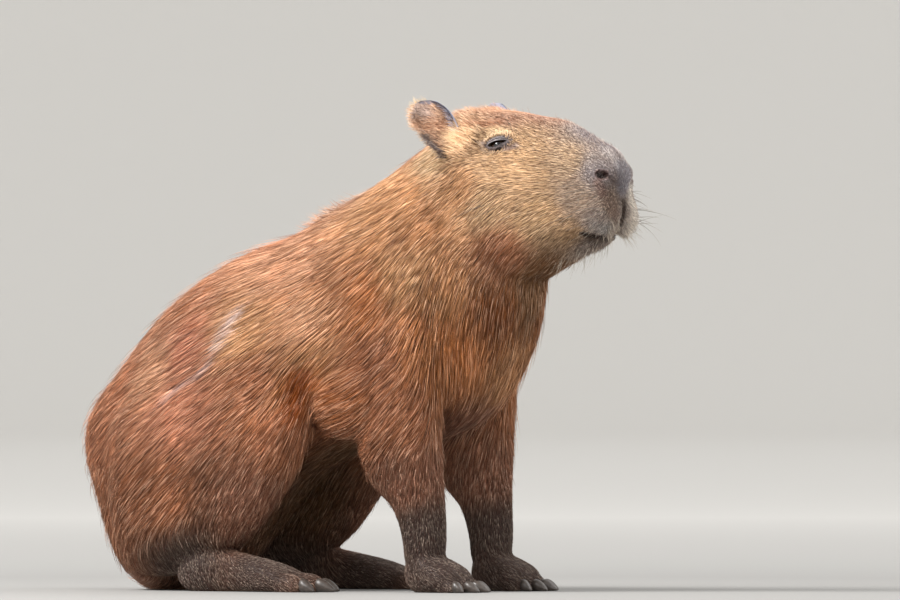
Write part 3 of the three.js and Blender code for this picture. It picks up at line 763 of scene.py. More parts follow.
# A pale scar on the right hip
scarPath = laidOn(skinPoints, [(1, -123, 326), (-14, -136, 294), (-22, -142.5, 271), (-37, -145, 252),
                               (-57, -146, 241), (-84, -148, 219)])

# Small marks: (colour, path, reach, share of the reach that is soft, strength)
smallMarks = [
    ((0.10, 0.09, 0.105), [(404, 0, 540), (420, 0, 532), (434, 0, 524)], 26.0, 0.85, 0.85),  # bridge
    # Pale top of the nose: its grey skin, lightened partly as painted light from above
    ((0.58, 0.53, 0.51), [(438, 12, 515), (446, 12, 508), (453, 8, 500)], 17.0, 0.95, 0.75),  # nose
    ((0.36, 0.15, 0.07), [(276, 52, 544), (292, 48, 549), (306, 45, 552)], 12.0, 0.8, 0.8),  # brow
    ((0.27, 0.24, 0.245), [(430, 38, 493), (438, 32, 495), (443, 22, 491)], 15.0, 0.7, 0.6),
    ((0.28, 0.28, 0.32), [(452, 3, 472), (454, 5, 484), (452, 6, 495)], 16.0, 0.7, 0.7),
    ((0.19, 0.08, 0.055), [(437.8, 38, 477), (441, 35, 466)], 9.0, 0.7, 0.5),  # below the nostril
    # Dark brown down the front of the muzzle: its own tone, darkened partly as painted shade
    ((0.15, 0.09, 0.075), [(446, 30, 458), (450, 26, 446), (454, 20, 436)], 15.0, 0.7, 0.55),
    ((0.44, 0.43, 0.41), [(434, 37, 428), (444, 31, 424)], 12.0, 0.7, 0.7),  # edge of the lip
    # Nostril: a reddish lining, and a near-black core that is painted shade in the hole
    ((0.30, 0.11, 0.085), furrows["nostril"]["path"], 7.5, 0.5, 0.5),
    ((0.02, 0.004, 0.003), furrows["nostril"]["path"], 6.0, 0.25, 1.0),
    # Painted shade: a dark line along the crease from the nostril
    ((0.09, 0.06, 0.056), furrows["nostrilTail"]["path"], 3.4, 0.6, 0.7),
    # Painted shade: near-black in the cleft between the lips
    ((0.03, 0.02, 0.015), furrows["cleft"]["path"], 8.5, 0.7, 1.0),
    # Painted shadow: near-black on the chin under the lower lip
    ((0.04, 0.026, 0.016), [(437, 8, 403), (431, 20, 404), (422, 28, 407)], 14.0, 0.7, 0.9),
    # Painted shade: near-black along the slit of the mouth
    ((0.012, 0.007, 0.006), furrows["mouth"]["path"], 8.0, 0.4, 0.98),
    ((0.17, 0.13, 0.125), [(295, 59, 524), (300, 58.5, 521)], 5.5, 0.8, 0.8),  # behind the eye
    ((0.20, 0.145, 0.145), [(325, 55, 518), (333, 50.5, 520.5)], 6.5, 0.6, 0.8),  # before the eye
    # Deep rust along the stifle crease: the reddish coat there, darkened partly as painted shade in the
    # crease
    ((0.36, 0.085, 0.006), [(91, 134, 240), (88, 136, 226), (84, 140, 205)], 28.0, 0.85, 1.0),
]
# Marks of one side only: the scar, and on the left lip a pale band that is painted light, the lit edge
# of its fur
sideMarks = [
    ((0.70, 0.57, 0.56), scarPath, 8.5, 0.7, 0.72),
    ((0.74, 0.60, 0.57), scarPath[:12], 14.0, 0.8, 0.7),
    # Painted light: the pale band of the lit left lip
    ((0.84, 0.79, 0.71), [(448, 22, 466), (452, 24, 450), (452, 24, 434), (447, 22, 418)],
     21.0, 1.0, 0.9),
]
# Bare skin: round the nostrils, along the mouth, behind and before the eyes: (path, reach)
barePlaces = [
    (furrows["nostril"]["path"], 8.4), (furrows["nostrilTail"]["path"], 2.6),
    (furrows["mouth"]["path"], 4.6),
    ([(294, 59, 524.5), (299, 58.5, 521.5)], 4.2), ([(324, 55.5, 518), (333, 50.5, 520.5)], 4.2),
]


# How bare the skin is at each point, from 0 under fur to 1
def bareAt(points):
    mirrored = onLeft(points)
    return np.max([smoothStep(reach, reach * 0.6, distanceToPath(mirrored, path))
                   for path, reach in barePlaces], 0)


# Markings that skin and coat share: the guides' tones, soft patches and the small marks
def markingsAt(points):
    _, _, tone = combAt(points)
    tone = tone * (1 + 0.10 * ripple(points, 60, 5) + 0.07 * ripple(points, 22, 6))[:, None]
    for marks, places in ((smallMarks, onLeft(points)), (sideMarks, points)):
        for colour, path, reach, soft, amount in marks:
            near = smoothStep(reach, reach * (1 - soft), distanceToPath(places, path))
            tone = tone + amount * near[:, None] * (np.array(colour) - tone)
    return tone


# A socket takes a constant, or a link from the output it is given
def feed(tree, socket, value):
    if isinstance(value, bpy.types.NodeSocket):
        tree.links.new(value, socket)
    else:
        socket.default_value = value


# A node with its own properties set and its sockets fed
def addNode(tree, kind, sockets=None, **settings):
    node = tree.nodes.new(kind)
    for name, value in settings.items():
        setattr(node, name, value)
    for name, value in (sockets or {}).items():
        feed(tree, node.inputs[name], value)
    return node


# First times (1 - factor) plus second times factor, or another blend of the two
def mixColours(tree, factor, first, second, blend="MIX"):
    node = addNode(tree, "ShaderNodeMix", {0: factor}, data_type="RGBA", blend_type=blend)
    for place, colour in ((6, first), (7, second)):
        feed(tree, node.inputs[place], (*colour, 1.0) if isinstance(colour, tuple) else colour)
    return node.outputs[2]


# Two values joined by a sum, difference or product
def mathOf(tree, operation, first, second, clamp=False):
    node = addNode(tree, "ShaderNodeMath", {0: first, 1: second}, operation=operation, use_clamp=clamp)
    return node.outputs[0]


# A value carried from one range to another, stopping at its ends
def rangeOf(tree, value, fromRange, toRange=(0.0, 1.0)):
    names = ("Value", "From Min", "From Max", "To Min", "To Max")
    sockets = dict(zip(names, (value, *fromRange, *toRange)))
    return addNode(tree, "ShaderNodeMapRange", sockets).outputs[0]


# What a mesh attribute holds at each point
def attributeOf(tree, name, output):
    return addNode(tree, "ShaderNodeAttribute", attribute_name=name).outputs[output]


# A node group with its named inputs and outputs: (name, kind, value at first)
def newGroup(name, inputs, outputs):
    tree = bpy.data.node_groups.new(name, "ShaderNodeTree")
    for inOut, sockets in (("INPUT", inputs), ("OUTPUT", outputs)):
        for socketName, kind, value in sockets:
            socket = tree.interface.new_socket(socketName, in_out=inOut, socket_type=kind)
            if value is not None:
                socket.default_value = value
    return tree, tree.nodes.new("NodeGroupInput").outputs, tree.nodes.new("NodeGroupOutput").inputs


# Fine mottling of a bare skin: two sizes of noise as a mask and as a height
def makeMottleGroup():
    tree, given, result = newGroup(
        "mottle",
        [("Scale", "NodeSocketFloat", 400.0), ("Contrast", "NodeSocketFloat", 1.0)],
        [("Mask", "NodeSocketFloat", None), ("Height", "NodeSocketFloat", None)],
    )
    place = addNode(tree, "ShaderNodeTexCoord").outputs["Object"]
    noise = {"Vector": place, "Scale": given["Scale"]}
    broad = addNode(tree, "ShaderNodeTexNoise", {**noise, "Detail": 4.0}).outputs["Fac"]
    cells = addNode(tree, "ShaderNodeTexVoronoi", noise).outputs["Distance"]
    spread = mathOf(tree, "MULTIPLY", mathOf(tree, "SUBTRACT", broad, 0.5), given["Contrast"])
    tree.links.new(mathOf(tree, "ADD", spread, 0.5, clamp=True), result["Mask"])
    tree.links.new(mathOf(tree, "ADD", broad, cells), result["Height"])
    return tree


# What a hair's shade and the place along it do to its colour: each carried from a range to another
hairRanges = {
    "dusky": ("Shade", (0.46, 0.14), (0.0, 0.7)), "pale": ("Shade", (0.55, 1.0), (0.0, 0.38)),
    "lift": ("Shade", (0.45, 0.95), (1.0, 1.5)), "tip": ("Along", (0.4, 1.0), (0.92, 1.15)),
    # root: the lower part of each hair goes towards dusk, partly its own colour and partly painted
    # shade among the hairs
    "root": ("Along", (0.55, 0.0), (0.0, 0.65)), "rough": ("Shade", (0.0, 1.0), (0.62, 0.46)),
}


# The colour of a hair from its marking, its own shade and the place along it: dusky roots, partly the
# hair's own darker base and partly painted shade among the hairs, some dusky hairs, others bleached,
# all paler towards the tip
def makeHairGroup():
    tree, given, result = newGroup(
        "hairTone",
        [("Marking", "NodeSocketColor", None),
         ("Shade", "NodeSocketFloat", 0.5), ("Along", "NodeSocketFloat", 0.5),
         ("Dusk", "NodeSocketColor", (0.12, 0.045, 0.028, 1.0)),
         ("Bleach", "NodeSocketColor", (0.92, 0.72, 0.56, 1.0))],
        [("Color", "NodeSocketColor", None), ("Roughness", "NodeSocketFloat", None)],
    )
    marking, dusk = given["Marking"], given["Dusk"]
    ranged = {name: rangeOf(tree, given[of], *ranges) for name, (of, *ranges) in hairRanges.items()}
    gain = mathOf(tree, "MULTIPLY", ranged["lift"], ranged["tip"])
    lifted = addNode(tree, "ShaderNodeVectorMath", {0: marking, "Scale": gain}, operation="SCALE")
    bleached = mixColours(tree, ranged["pale"], lifted.outputs[0], given["Bleach"])
    dimmed = mixColours(tree, 0.5, marking, dusk, "MULTIPLY")
    shaded = mixColours(tree, ranged["dusky"], bleached, dimmed)
    darkened = mixColours(tree, ranged["dusky"], bleached, dusk)
    rooted = mixColours(tree, ranged["root"], mixColours(tree, 0.7, shaded, darkened), dusk)
    tree.links.new(rooted, result["Color"])
    tree.links.new(ranged["rough"], result["Roughness"])
    return tree


mottleGroup = makeMottleGroup()
hairGroup = makeHairGroup()

# Each material's mottling (scale, contrast), the bump of it (strength, metres) and its shader's
# values
finishes = {
    "coatHair": {"shader": {"Specular IOR Level": 0.35}},
    "skin": {"mottle": (260.0, 1.6), "bump": (0.35, 0.0008),
             "shader": {"Roughness": 0.62, "Specular IOR Level": 0.25}},
    "lidSkin": {"mottle": (420.0, 3.0), "bump": (0.45, 0.0005), "shader": {"Roughness": 0.42}},
    "earSkin": {"mottle": (520.0, 2.0), "bump": (0.4, 0.0005), "shader": {"Roughness": 0.55}},
    "clawHorn": {"mottle": (300.0, 1.5), "bump": (0.25, 0.0004), "shader": {"Roughness": 0.38}},
    "eyeWet": {"shader": {"Roughness": 0.05, "Specular IOR Level": 0.3,
                          "Coat Weight": 0.25, "Coat Roughness": 0.02}},
    "whisker": {"shader": {"Roughness": 0.4}},
    "stagePale": {"shader": {"Roughness": 0.8}},
}


# A material from its finish; paint gives its base colour from the tree, the shader and the mottling
def makeMaterial(name, paint):
    finish = finishes[name]
    material = bpy.data.materials.new(name)
    material.use_nodes = True
    tree = material.node_tree
    shader = tree.nodes["Principled BSDF"]
    for socket, value in finish["shader"].items():
        shader.inputs[socket].default_value = value
    mottle = None
    if "mottle" in finish:
        amounts = dict(zip(("Scale", "Contrast"), finish["mottle"]))
        mottle = addNode(tree, "ShaderNodeGroup", amounts, node_tree=mottleGroup).outputs
        bump = dict(zip(("Strength", "Distance"), finish["bump"]), Height=mottle["Height"])
        tree.links.new(addNode(tree, "ShaderNodeBump", bump).outputs["Normal"], shader.inputs["Normal"])
    tree.links.new(paint(tree, shader, mottle), shader.inputs["Base Color"])
    return material


# Hair: its own colour group, which also says how rough each hair is
def paintHair(tree, shader, mottle):
    hair = addNode(tree, "ShaderNodeGroup", {
        "Marking": attributeOf(tree, "markings", "Color"),
        "Shade": attributeOf(tree, "shade", "Fac"), "Along": attributeOf(tree, "along", "Fac"),
    }, node_tree=hairGroup).outputs
    tree.links.new(hair["Roughness"], shader.inputs["Roughness"])
    return hair["Color"]


# Skin under the coat: the markings, darker where it isn't bare, with mottling
def paintSkin(tree, shader, mottle):
    marking = attributeOf(tree, "markings", "Color")
    under = mixColours(tree, 0.62, marking, (0.05, 0.03, 0.025))
    seen = mixColours(tree, attributeOf(tree, "bare", "Fac"), under, marking)
    return mixColours(tree, mottle["Mask"], seen, mixColours(tree, 0.45, seen, (0.02, 0.014, 0.014)))


# Lids: bare grey skin, darkened in the grooves of its folds as painted shade, near-black at the lid's
# own dark edge by the slit
def paintLids(tree, shader, mottle):
    spotted = mixColours(tree, mottle["Mask"], (0.05, 0.037, 0.037), (0.22, 0.18, 0.185))
    return mixColours(tree, attributeOf(tree, "creaseShade", "Fac"), spotted, (0.014, 0.009, 0.009))


# Ears: their own markings, mottled and finely wrinkled
def paintEars(tree, shader, mottle):
    marking = attributeOf(tree, "markings", "Color")
    dark = mixColours(tree, 0.3, marking, (0.05, 0.035, 0.035))
    return mixColours(tree, mottle["Mask"], dark, marking)


# Claws: dark horn
def paintClaws(tree, shader, mottle):
    return mixColours(tree, mottle["Mask"], (0.02, 0.016, 0.014), (0.075, 0.058, 0.048))


# Eye: a near-black pupil in a dark brown iris, by the distance from the axis of the ball, held in
# an attribute from 0 at the middle of the pupil
def paintEyes(tree, shader, mottle):
    place = addNode(tree, "ShaderNodeTexCoord").outputs["Object"]
    noise = addNode(tree, "ShaderNodeTexNoise", {"Vector": place, "Scale": 900.0, "Detail": 3.0})
    iris = mixColours(tree, noise.outputs["Fac"], (0.010, 0.005, 0.003), (0.028, 0.014, 0.008))
    edge = rangeOf(tree, attributeOf(tree, "fromPupil", "Fac"), (0.34, 0.42))
    return mixColours(tree, edge, (0.003, 0.003, 0.004), iris)


# Whiskers: from dark or pale at the root, by their shade, to straw at the tip
def paintWhiskers(tree, shader, mottle):
    root = mixColours(tree, attributeOf(tree, "shade", "Fac"), (0.03, 0.024, 0.02), (0.5, 0.42, 0.33))
    return mixColours(tree, attributeOf(tree, "along", "Fac"), root, (0.4, 0.33, 0.26))


paints = {
    "coatHair": paintHair, "skin": paintSkin, "lidSkin": paintLids, "earSkin": paintEars,
    "clawHorn": paintClaws, "eyeWet": paintEyes, "whisker": paintWhiskers,
}
materials = {name: makeMaterial(name, paint) for name, paint in paints.items()}
print("materials made")


# The skin stands for all nodes of flesh. Where the furrows sink deep, in the nostrils and the mouth,
# its colour is darkened to black: painted shade
skinMesh = makeMesh("skin", toScene(skinPoints), [skinQuads])
addColours(skinMesh, "markings", markingsAt(skinPoints) * smoothStep(9.0, 2.5, skinSink)[:, None])
addValues(skinMesh, "bare", bareAt(skinPoints))
limbs = ["upper_arm", "forearm", "forefoot", "thigh", "shank", "hindfoot"]
skin = finishPiece("skin", skinMesh, materials["skin"], "coat_red", "torso", "rump", "neck", "head",
                   "lower_jaw", *[f"{name}_{side}" for name in limbs for side in sides])


# Unwrap of the skin, for the places of the tufts on their own map
def unwrapSkin():
    bpy.ops.object.select_all(action="DESELECT")
    skin.select_set(True)
    bpy.context.view_layer.objects.active = skin
    bpy.ops.object.mode_set(mode="EDIT")
    bpy.ops.mesh.select_all(action="SELECT")
    bpy.ops.uv.smart_project(angle_limit=math.radians(66), island_margin=0.002)
    bpy.ops.object.mode_set(mode="OBJECT")
    corners = np.empty(len(skin.data.loops) * 2, np.float32)
    skin.data.uv_layers[0].data.foreach_get("uv", corners)
    return corners.reshape(-1, 4, 2).astype(float)


# Ground that hair grows on: its faces as triangles with their flat map, and the normals of its points
def hairGround(points, quads, cornerMap):
    return {"points": points, "normals": normalsOf(points, quads), "split": halved(quads),
            "maps": halved(cornerMap)}


skinGround = hairGround(skinPoints, skinQuads, unwrapSkin())
print("skin unwrapped")


# Places on the skin nearest to the given points, and the normals there: shrinkwrap finds both, from
# one fit on the surface and one a millimetre above it
def nearestOnSkin(points):
    probe = bpy.data.meshes.new("probe")
    probe.vertices.add(len(points))
    probe.vertices.foreach_set("co", toScene(points).astype(np.float32).ravel())
    piece = addPiece("probe", probe)
    wrap = piece.modifiers.new("wrap", "SHRINKWRAP")
    wrap.target = skin
    wrap.wrap_method = "NEAREST_SURFACEPOINT"
    found = []
    for mode, offset in (("ON_SURFACE", 0.0), ("ABOVE_SURFACE", mm)):
        wrap.wrap_mode = mode
        wrap.offset = offset
        mesh = piece.evaluated_get(bpy.context.evaluated_depsgraph_get()).data
        place = np.empty(len(points) * 3, np.float32)
        mesh.vertices.foreach_get("co", place)
        found.append(toPlan(place.reshape(-1, 3)))
    bpy.data.objects.remove(piece)
    return found[0], unit(found[1] - found[0])


# Roots spread over a ground: triangles are drawn by area times the weight wanted at their middle
def scatterRoots(ground, weightAt, count, rng):
    a, b, c = (ground["points"][ground["split"][:, i]] for i in range(3))
    want = 0.5 * np.linalg.norm(np.cross(b - a, c - a), axis=1) * weightAt((a + b + c) / 3)
    reach = np.cumsum(want)
    draws = (np.arange(count) + rng.random(count)) / count * reach[-1]
    pick = np.minimum(np.searchsorted(reach, draws), len(want) - 1)
    u, v = rng.random(count), rng.random(count)
    over = u + v > 1
    u[over], v[over] = 1 - u[over], 1 - v[over]
    share = np.stack([1 - u - v, u, v], 1)
    corners = ground["split"][pick]
    roots = np.einsum("ij,ijk->ik", share, ground["points"][corners])
    normals = unit(np.einsum("ij,ijk->ik", share, ground["normals"][corners]))
    return roots, normals, np.einsum("ij,ijk->ik", share, ground["maps"][pick])


# Locks: space is parted into cells round scattered seeds, one in each cube of the given size. For each
# point, its nearest seed and a random number of its own. A cube's random numbers are the fractions of
# large sines, one for each mix of its coordinates.
lockMixes = ((127.1, 311.7, 74.7), (269.5, 183.3, 246.1), (113.5, 271.9, 124.6), (419.2, 371.9, 88.3))


# The nearest seed of the 27 cubes round each point
def lockOf(points, size, seed):
    home = np.floor(points / size)
    nearest = np.full(len(points), np.inf)
    place = np.zeros_like(points)
    chance = np.zeros(len(points))
    for step in np.stack(np.meshgrid(*[(-1, 0, 1)] * 3), -1).reshape(-1, 3):
        cell = home + step
        rolls = [np.sin(cell @ np.array(mix) + seed) * 43758.5453 % 1 for mix in lockMixes]
        middle = (cell + np.stack(rolls[:3], 1)) * size
        distance = ((points - middle) ** 2).sum(1)
        closer = distance < nearest
        nearest[closer] = distance[closer]
        place[closer] = middle[closer]
        chance[closer] = rolls[3][closer]
    return place, chance


# Strands, the long thin locks of hair: space is parted into wide cells, and in each the places are
# drawn together along the lie at the cell's seed, so that small cells of the drawn space come out
# long in that direction. Gives the way across to the middle of each point's strand and its chance.
def strandOf(points, wide, long, seed):
    home, homeChance = lockOf(points, max(12.0, 0.7 * long), seed)
    along = unit(combAt(home)[0])
    local = points - home
    inLine = (local * along).sum(1, keepdims=True)
    drawn = local - along * inLine * (1 - wide / long) + 900 * homeChance[:, None]
    middle, chance = lockOf(drawn, wide, seed + 1)
    toMiddle = middle - drawn
    return toMiddle - (toMiddle * along).sum(1, keepdims=True) * along, chance


# The coat's build: how many triangles, how roots, widths and heights follow the length of the hair
coatPlan = {
    "triangles": 1320000, "perPiece": 190000, "seed": 21,
    "gapShort": 0.86, "gapPerLength": 0.024,  # distance between roots, in proportion
    "wideShort": 0.46, "widePerLength": 0.012,
    "riseShort": 1.3, "risePerLength": 0.125,  # height of the tips over the skin
    "ownShade": 0.45, "strandShade": 0.6, "dimmer": 0.02,
    "sunk": 1.2, "waver": 0.035, "gather": 0.35, "longFrom": 22.0,
    "longStrand": (1.3, 60.0, 7.7), "shortStrand": (0.9, 9.0, 3.1),  # width, length and seed
}
bladeFaces = 6  # of a hair with one bend
hairPatch = 0.003  # side of a hair's own patch on the map


# How densely hair grows: by the distance wanted between roots, and nowhere in the nostrils, in the
# mouth, over the eyes or under the feet
def coatWeight(points):
    _, length, _ = combAt(points)
    weight = 1 / (coatPlan["gapShort"] + coatPlan["gapPerLength"] * length) ** 2
    weight *= (1 - bareAt(points)) * smoothStep(1.0, 3.0, points[:, 2])
    for side in sides.values():
        x, y, z = eyeCoordinates(points, side)
        weight *= (z < 0) | (lidOval(x, y) > 0.75)
    return weight


# The lie at each point, turned outwards round the eyes, laid into the surface, wavering slowly
def lieOn(points, normals):
    lie, _, _ = combAt(points)
    for side in sides.values():
        x, y, z = eyeCoordinates(points, side)
        reach = np.sqrt((x / combPlan["eyeLong"]) ** 2 + (y / combPlan["eyeHigh"]) ** 2)
        ring = np.exp(-np.maximum(reach - 0.8, 0) * 4) * (z > 0)
        forward, upward, _ = eyeAxes(side)
        outwards = unit(np.outer(x, forward) + combPlan["eyeUp"] * np.outer(y, upward))
        lie = lie + combPlan["eyePull"] * ring[:, None] * outwards
    lie = unit(lie - (lie * normals).sum(1, keepdims=True) * normals)
    waver = coatPlan["waver"] * np.cross(normals, lie)
    return unit(lie + waver * (ripple(points, 40, 11) + 0.8 * ripple(points, 15, 12))[:, None])


# How high the tips of the coat stand over the skin, by the length of the hair
def coatRise(length):
    return coatPlan["riseShort"] + coatPlan["risePerLength"] * length


# Paths of tufts: from the sunk root the path walks along the lie and is put back over the skin at
# each stop, higher towards the tip; hairs of a strand draw together at their tips
def walkTufts(roots, normals, length, rise, toMiddle, stops):
    places = [roots - coatPlan["sunk"] * normals]
    ups = [normals]
    at, normal = roots, normals
    for before, share in zip([0.0] + stops[:-1], stops):
        heading = lieOn(at, normal) * (length * (share - before))[:, None]
        at, normal = nearestOnSkin(at + heading + coatPlan["gather"] * (share - before) * toMiddle)
        places.append(at + normal * (rise * share**0.6)[:, None])
        ups.append(normal)
    return np.stack(places, 1), np.stack(ups, 1)


# Paths of hairs that stand on a ground of their own, along given lies
def straightTufts(roots, normals, lies, length, rise, stops):
    places = [roots - 0.6 * normals]
    for share in stops:
        places.append(roots + lies * (length * share)[:, None] + normals * (rise * share**0.8)[:, None])
    return np.stack(places, 1), np.repeat(normals[:, None], len(stops) + 1, 1)


# Tufts as closed blades of three sides: a point at the root, rings, a point at the tip. Each has a
# small patch of its own on the map, at its root's place.
def tuftMesh(name, paths, ups, width, marking, shade, mapped, profile):
    count, stops = paths.shape[:2]
    ahead = unit(paths[:, -1] - paths[:, 0])
    rings = []
    for k in range(1, stops - 1):
        across = unit(np.cross(ahead, ups[:, k])) * (width * profile[k] / 2)[:, None]
        ridge = ups[:, k] * (width * profile[k] * 0.45)[:, None]
        rings.append(np.stack([paths[:, k] - across, paths[:, k] + across, paths[:, k] + ridge], 1))
    body = np.concatenate([paths[:, :1], *rings, paths[:, -1:]], 1)
    perTuft = body.shape[1]
    tip = perTuft - 1
    faces = [(0, 2, 1), (0, 3, 2), (0, 1, 3)]
    for r in range(1, tip - 3, 3):
        for i, j in ((0, 1), (1, 2), (2, 0)):
            faces += [(r + i, r + j, r + 3 + j), (r + i, r + 3 + j, r + 3 + i)]
    r = tip - 3
    faces = np.array(faces + [(r, r + 1, tip), (r + 1, r + 2, tip), (r + 2, r, tip)])
    if volumeOf(*(body[:, faces[:, i]] - paths[:, :1] for i in range(3))) < 0:
        faces = faces[:, ::-1]
    starts = (np.arange(count) * perTuft)[:, None, None]
    points = body.reshape(-1, 3)
    points[:, 2] = np.maximum(points[:, 2], overFloor["hair"])
    mesh = makeMesh(name, toScene(points), [(faces[None] + starts).reshape(-1, 3)])
    along = np.concatenate([[0], np.repeat(np.arange(1, stops - 1) / (stops - 1), 3), [1]])
    addColours(mesh, "markings", np.repeat(marking, perTuft, axis=0))
    addValues(mesh, "shade", np.repeat(shade, perTuft))
    addValues(mesh, "along", np.tile(along, count))
    spot = np.zeros((perTuft, 2))
    spot[1:-1, 0] = np.tile([0, 1, 0.5], stops - 2)
    spot[:, 1] = along
    spots = mapped[:, None] + (spot[None] - 0.5) * hairPatch
    corners = np.empty(len(mesh.loops), np.int32)
    mesh.loops.foreach_get("vertex_index", corners)
    flat = np.clip(spots, 0, 1).reshape(-1, 2)[corners].astype(np.float32)
    mesh.uv_layers.new(name="OFBake").data.foreach_set("uv", flat.ravel())
    return mesh


# One piece of hair, in the coat's material
def addHair(name, slot, *tufts):
    piece = finishPiece(name, tuftMesh(name, *tufts), materials["coatHair"], slot)
    return len(piece.data.polygons)


# Hairs that would cross the slit of an eye are left out
def clearOfEyes(paths):
    clear = np.ones(len(paths), bool)
    for side in sides.values():
        x, y, z = eyeCoordinates(paths.reshape(-1, 3), side)
        oval = (x / (eyePlan["slitLong"] + 2)) ** 2 + (y / (eyePlan["slitUp"] + 2.2)) ** 2
        clear &= ~((oval < 1) & (z > 0)).reshape(paths.shape[:2]).any(1)
    return clear


# The coat goes into pieces by the part of the body that the roots are on
coatParts = ["face", "crown", "neck", "chest", "back", "flank_right", "flank_left", "rump", "legs"]
coatSlots = {"face": "coat_face", "crown": "coat_face", "neck": "coat_tawny", "legs": "coat_leg"}


# The part by planes across the body: rump behind, legs and chest low in front, head beyond the throat
def partOf(roots):
    x, y, z = roots.T
    part = np.full(len(roots), coatParts.index("back"))
    part[(y < -60) & (x < 170)] = coatParts.index("flank_right")
    part[(y > 60) & (x < 170)] = coatParts.index("flank_left")
    part[x + 0.5 * z < 0] = coatParts.index("rump")
    part[0.78 * (x - 190) + 0.62 * (z - 360) > 0] = coatParts.index("neck")
    part[(x > 170) & (z < 300)] = coatParts.index("chest")
    part[(z < 150) & (x > 120)] = coatParts.index("legs")
    part[(z < 60) & (x > -80)] = coatParts.index("legs")
    head = 0.9 * (x - 262) + 0.43 * (z - 470) > 0
    part[head] = coatParts.index("face")
    part[head & (x < 330)] = coatParts.index("crown")
    return part


# The strand that each root belongs to, by the length of its hair
def strandsAt(roots, length):
    isLong = length > coatPlan["longFrom"]
    shortMiddle, shortChance = strandOf(roots, *coatPlan["shortStrand"])
    longMiddle, longChance = strandOf(roots, *coatPlan["longStrand"])
    return np.where(isLong[:, None], longMiddle, shortMiddle), np.where(isLong, longChance, shortChance)


# Roots by density, sizes by the length that the guides say, and shades partly shared by a strand
def growCoat(plan):
    rng = np.random.default_rng(plan["seed"])
    count = plan["triangles"] // bladeFaces
    roots, normals, mapped = scatterRoots(skinGround, coatWeight, count, rng)
    _, length, _ = combAt(roots)
    toMiddle, strand = strandsAt(roots, length)
    own = plan["ownShade"] * rng.beta(1.3, 1.3, count)
    shade = np.clip(own + plan["strandShade"] * strand - plan["dimmer"], 0, 1)
    rise = coatRise(length) * (0.5 + 0.35 * rng.random(count) + 0.25 * strand)
    width = (plan["wideShort"] + plan["widePerLength"] * length) * rng.uniform(0.65, 1.35, count)
    size = length * rng.uniform(0.7, 1.2, count)
    paths, ups = walkTufts(roots, normals, size, rise, toMiddle, [0.4, 1.0])
    kept = np.flatnonzero(clearOfEyes(paths))
    marking = markingsAt(paths[:, 1:].mean(1))  # by the part of the hair that shows, not by its root
    part = partOf(roots)[kept]
    limit = plan["perPiece"] // bladeFaces
    total = 0
    for k, name in enumerate(coatParts):
        inPart = kept[part == k]
        for number, start in enumerate(range(0, len(inPart), limit)):
            take = inPart[start:start + limit]
            hairs = (values[take] for values in (paths, ups, width, marking, shade, mapped))
            slot = coatSlots.get(name, "coat_red")
            total += addHair(f"coat_{name}_{number + 1}", slot, *hairs, [0, 1, 0])
    print("coat:", total, "triangles")


growCoat(coatPlan)

# Guard hairs: fewer, longer and higher than the coat, with one more bend, where it is long
guardPlan = {"count": 5500, "longer": 1.15, "higher": 2.0, "width": 0.65, "seed": 5, "from": 15}


# As the coat, but dark or pale by chance
def growGuardHairs(plan):
    rng = np.random.default_rng(plan["seed"])
    count = plan["count"]
    roots, normals, mapped = scatterRoots(
        skinGround, lambda points: (combAt(points)[1] > plan["from"]) * 1.0, count, rng)
    _, length, _ = combAt(roots)
    rise = plan["higher"] * coatRise(length) * rng.uniform(0.4, 1, count)
    toMiddle, _ = strandsAt(roots, length)
    size = length * plan["longer"] * rng.uniform(0.8, 1.1, count)
    paths, ups = walkTufts(roots, normals, size, rise, toMiddle, [0.3, 0.65, 1.0])
    shade = rng.choice([0.1, 0.8], count) * rng.uniform(0.85, 1.1, count)
    addHair("guard_hairs", "coat_red", paths, ups, np.full(count, plan["width"]),
            markingsAt(paths[:, 2]), shade, mapped, [0, 1, 0.75, 0])


growGuardHairs(guardPlan)
print("guard hairs made")


# Eyes: a ball turned outwards, a little fuller in front, as rings round its axis
def makeEye(sideName, side):
    forward, upward, out = eyeAxes(side)
    centre = atSide(eyePlan["centre"], side) - eyePlan["drop"] * upward
    turn = np.linspace(0, math.pi, eyePlan["rings"])[1:-1]
    around = turnsOf(eyePlan["spokes"])
    radius = eyePlan["radius"] * (1 + eyePlan["fuller"] * bell(turn, eyePlan["fullTo"]))
    ring = (np.cos(around)[:, None] * forward + np.sin(around)[:, None] * upward)[None]
    rings = centre + (radius * np.sin(turn))[:, None, None] * ring
    rings = rings + (radius * np.cos(turn))[:, None, None] * out
    front = centre + out * eyePlan["radius"] * (1 + eyePlan["fuller"])
    points, quads, caps = closedLoft(rings, front, centre - out * eyePlan["radius"])
    offset = points - centre
    outwards = offset @ out
    fromAxis = np.linalg.norm(offset - outwards[:, None] * out, axis=1) / eyePlan["radius"]
    name = f"eyeball_{sideName}"
    mesh = makeMesh(name, toScene(points), [quads, caps])
    addValues(mesh, "fromPupil", np.where(outwards > 0, fromAxis, 1))
    finishPiece(name, mesh, materials["eyeWet"], "eye", f"eye_{sideName}")


# A closed sheet from its outer and its inner face, both grids of rows by columns that close across
# the columns: a ring like the lids. Its faces are turned away from the given middle.
def closedBand(outer, inner, middle):
    rings = np.concatenate([outer, inner[::-1]])
    quads = gridQuads(*rings.shape[:2], bothWays=True)[:, [0, 3, 2, 1]]
    points = rings.reshape(-1, 3)
    split = halved(quads)
    if volumeOf(*(points[split[:, i]] - middle for i in range(3))) < 0:
        quads = quads[:, ::-1]
    return points, quads


# Flat map of a closed grid for the hair on it: rows across, columns up, in one tenth of the square
def gridMap(quads, count, spokes):
    row, column = quads // spokes, quads % spokes
    return np.stack([0.45 + 0.1 * row / count, 0.45 + 0.1 * column / spokes], -1)


lidPlan = {
    "rows": 34, "columns": 120, "hairs": 1500, "seed": 31,
    "length": (2.5, 5.5), "rise": (0.8, 2.0), "width": (0.35, 0.6),
}


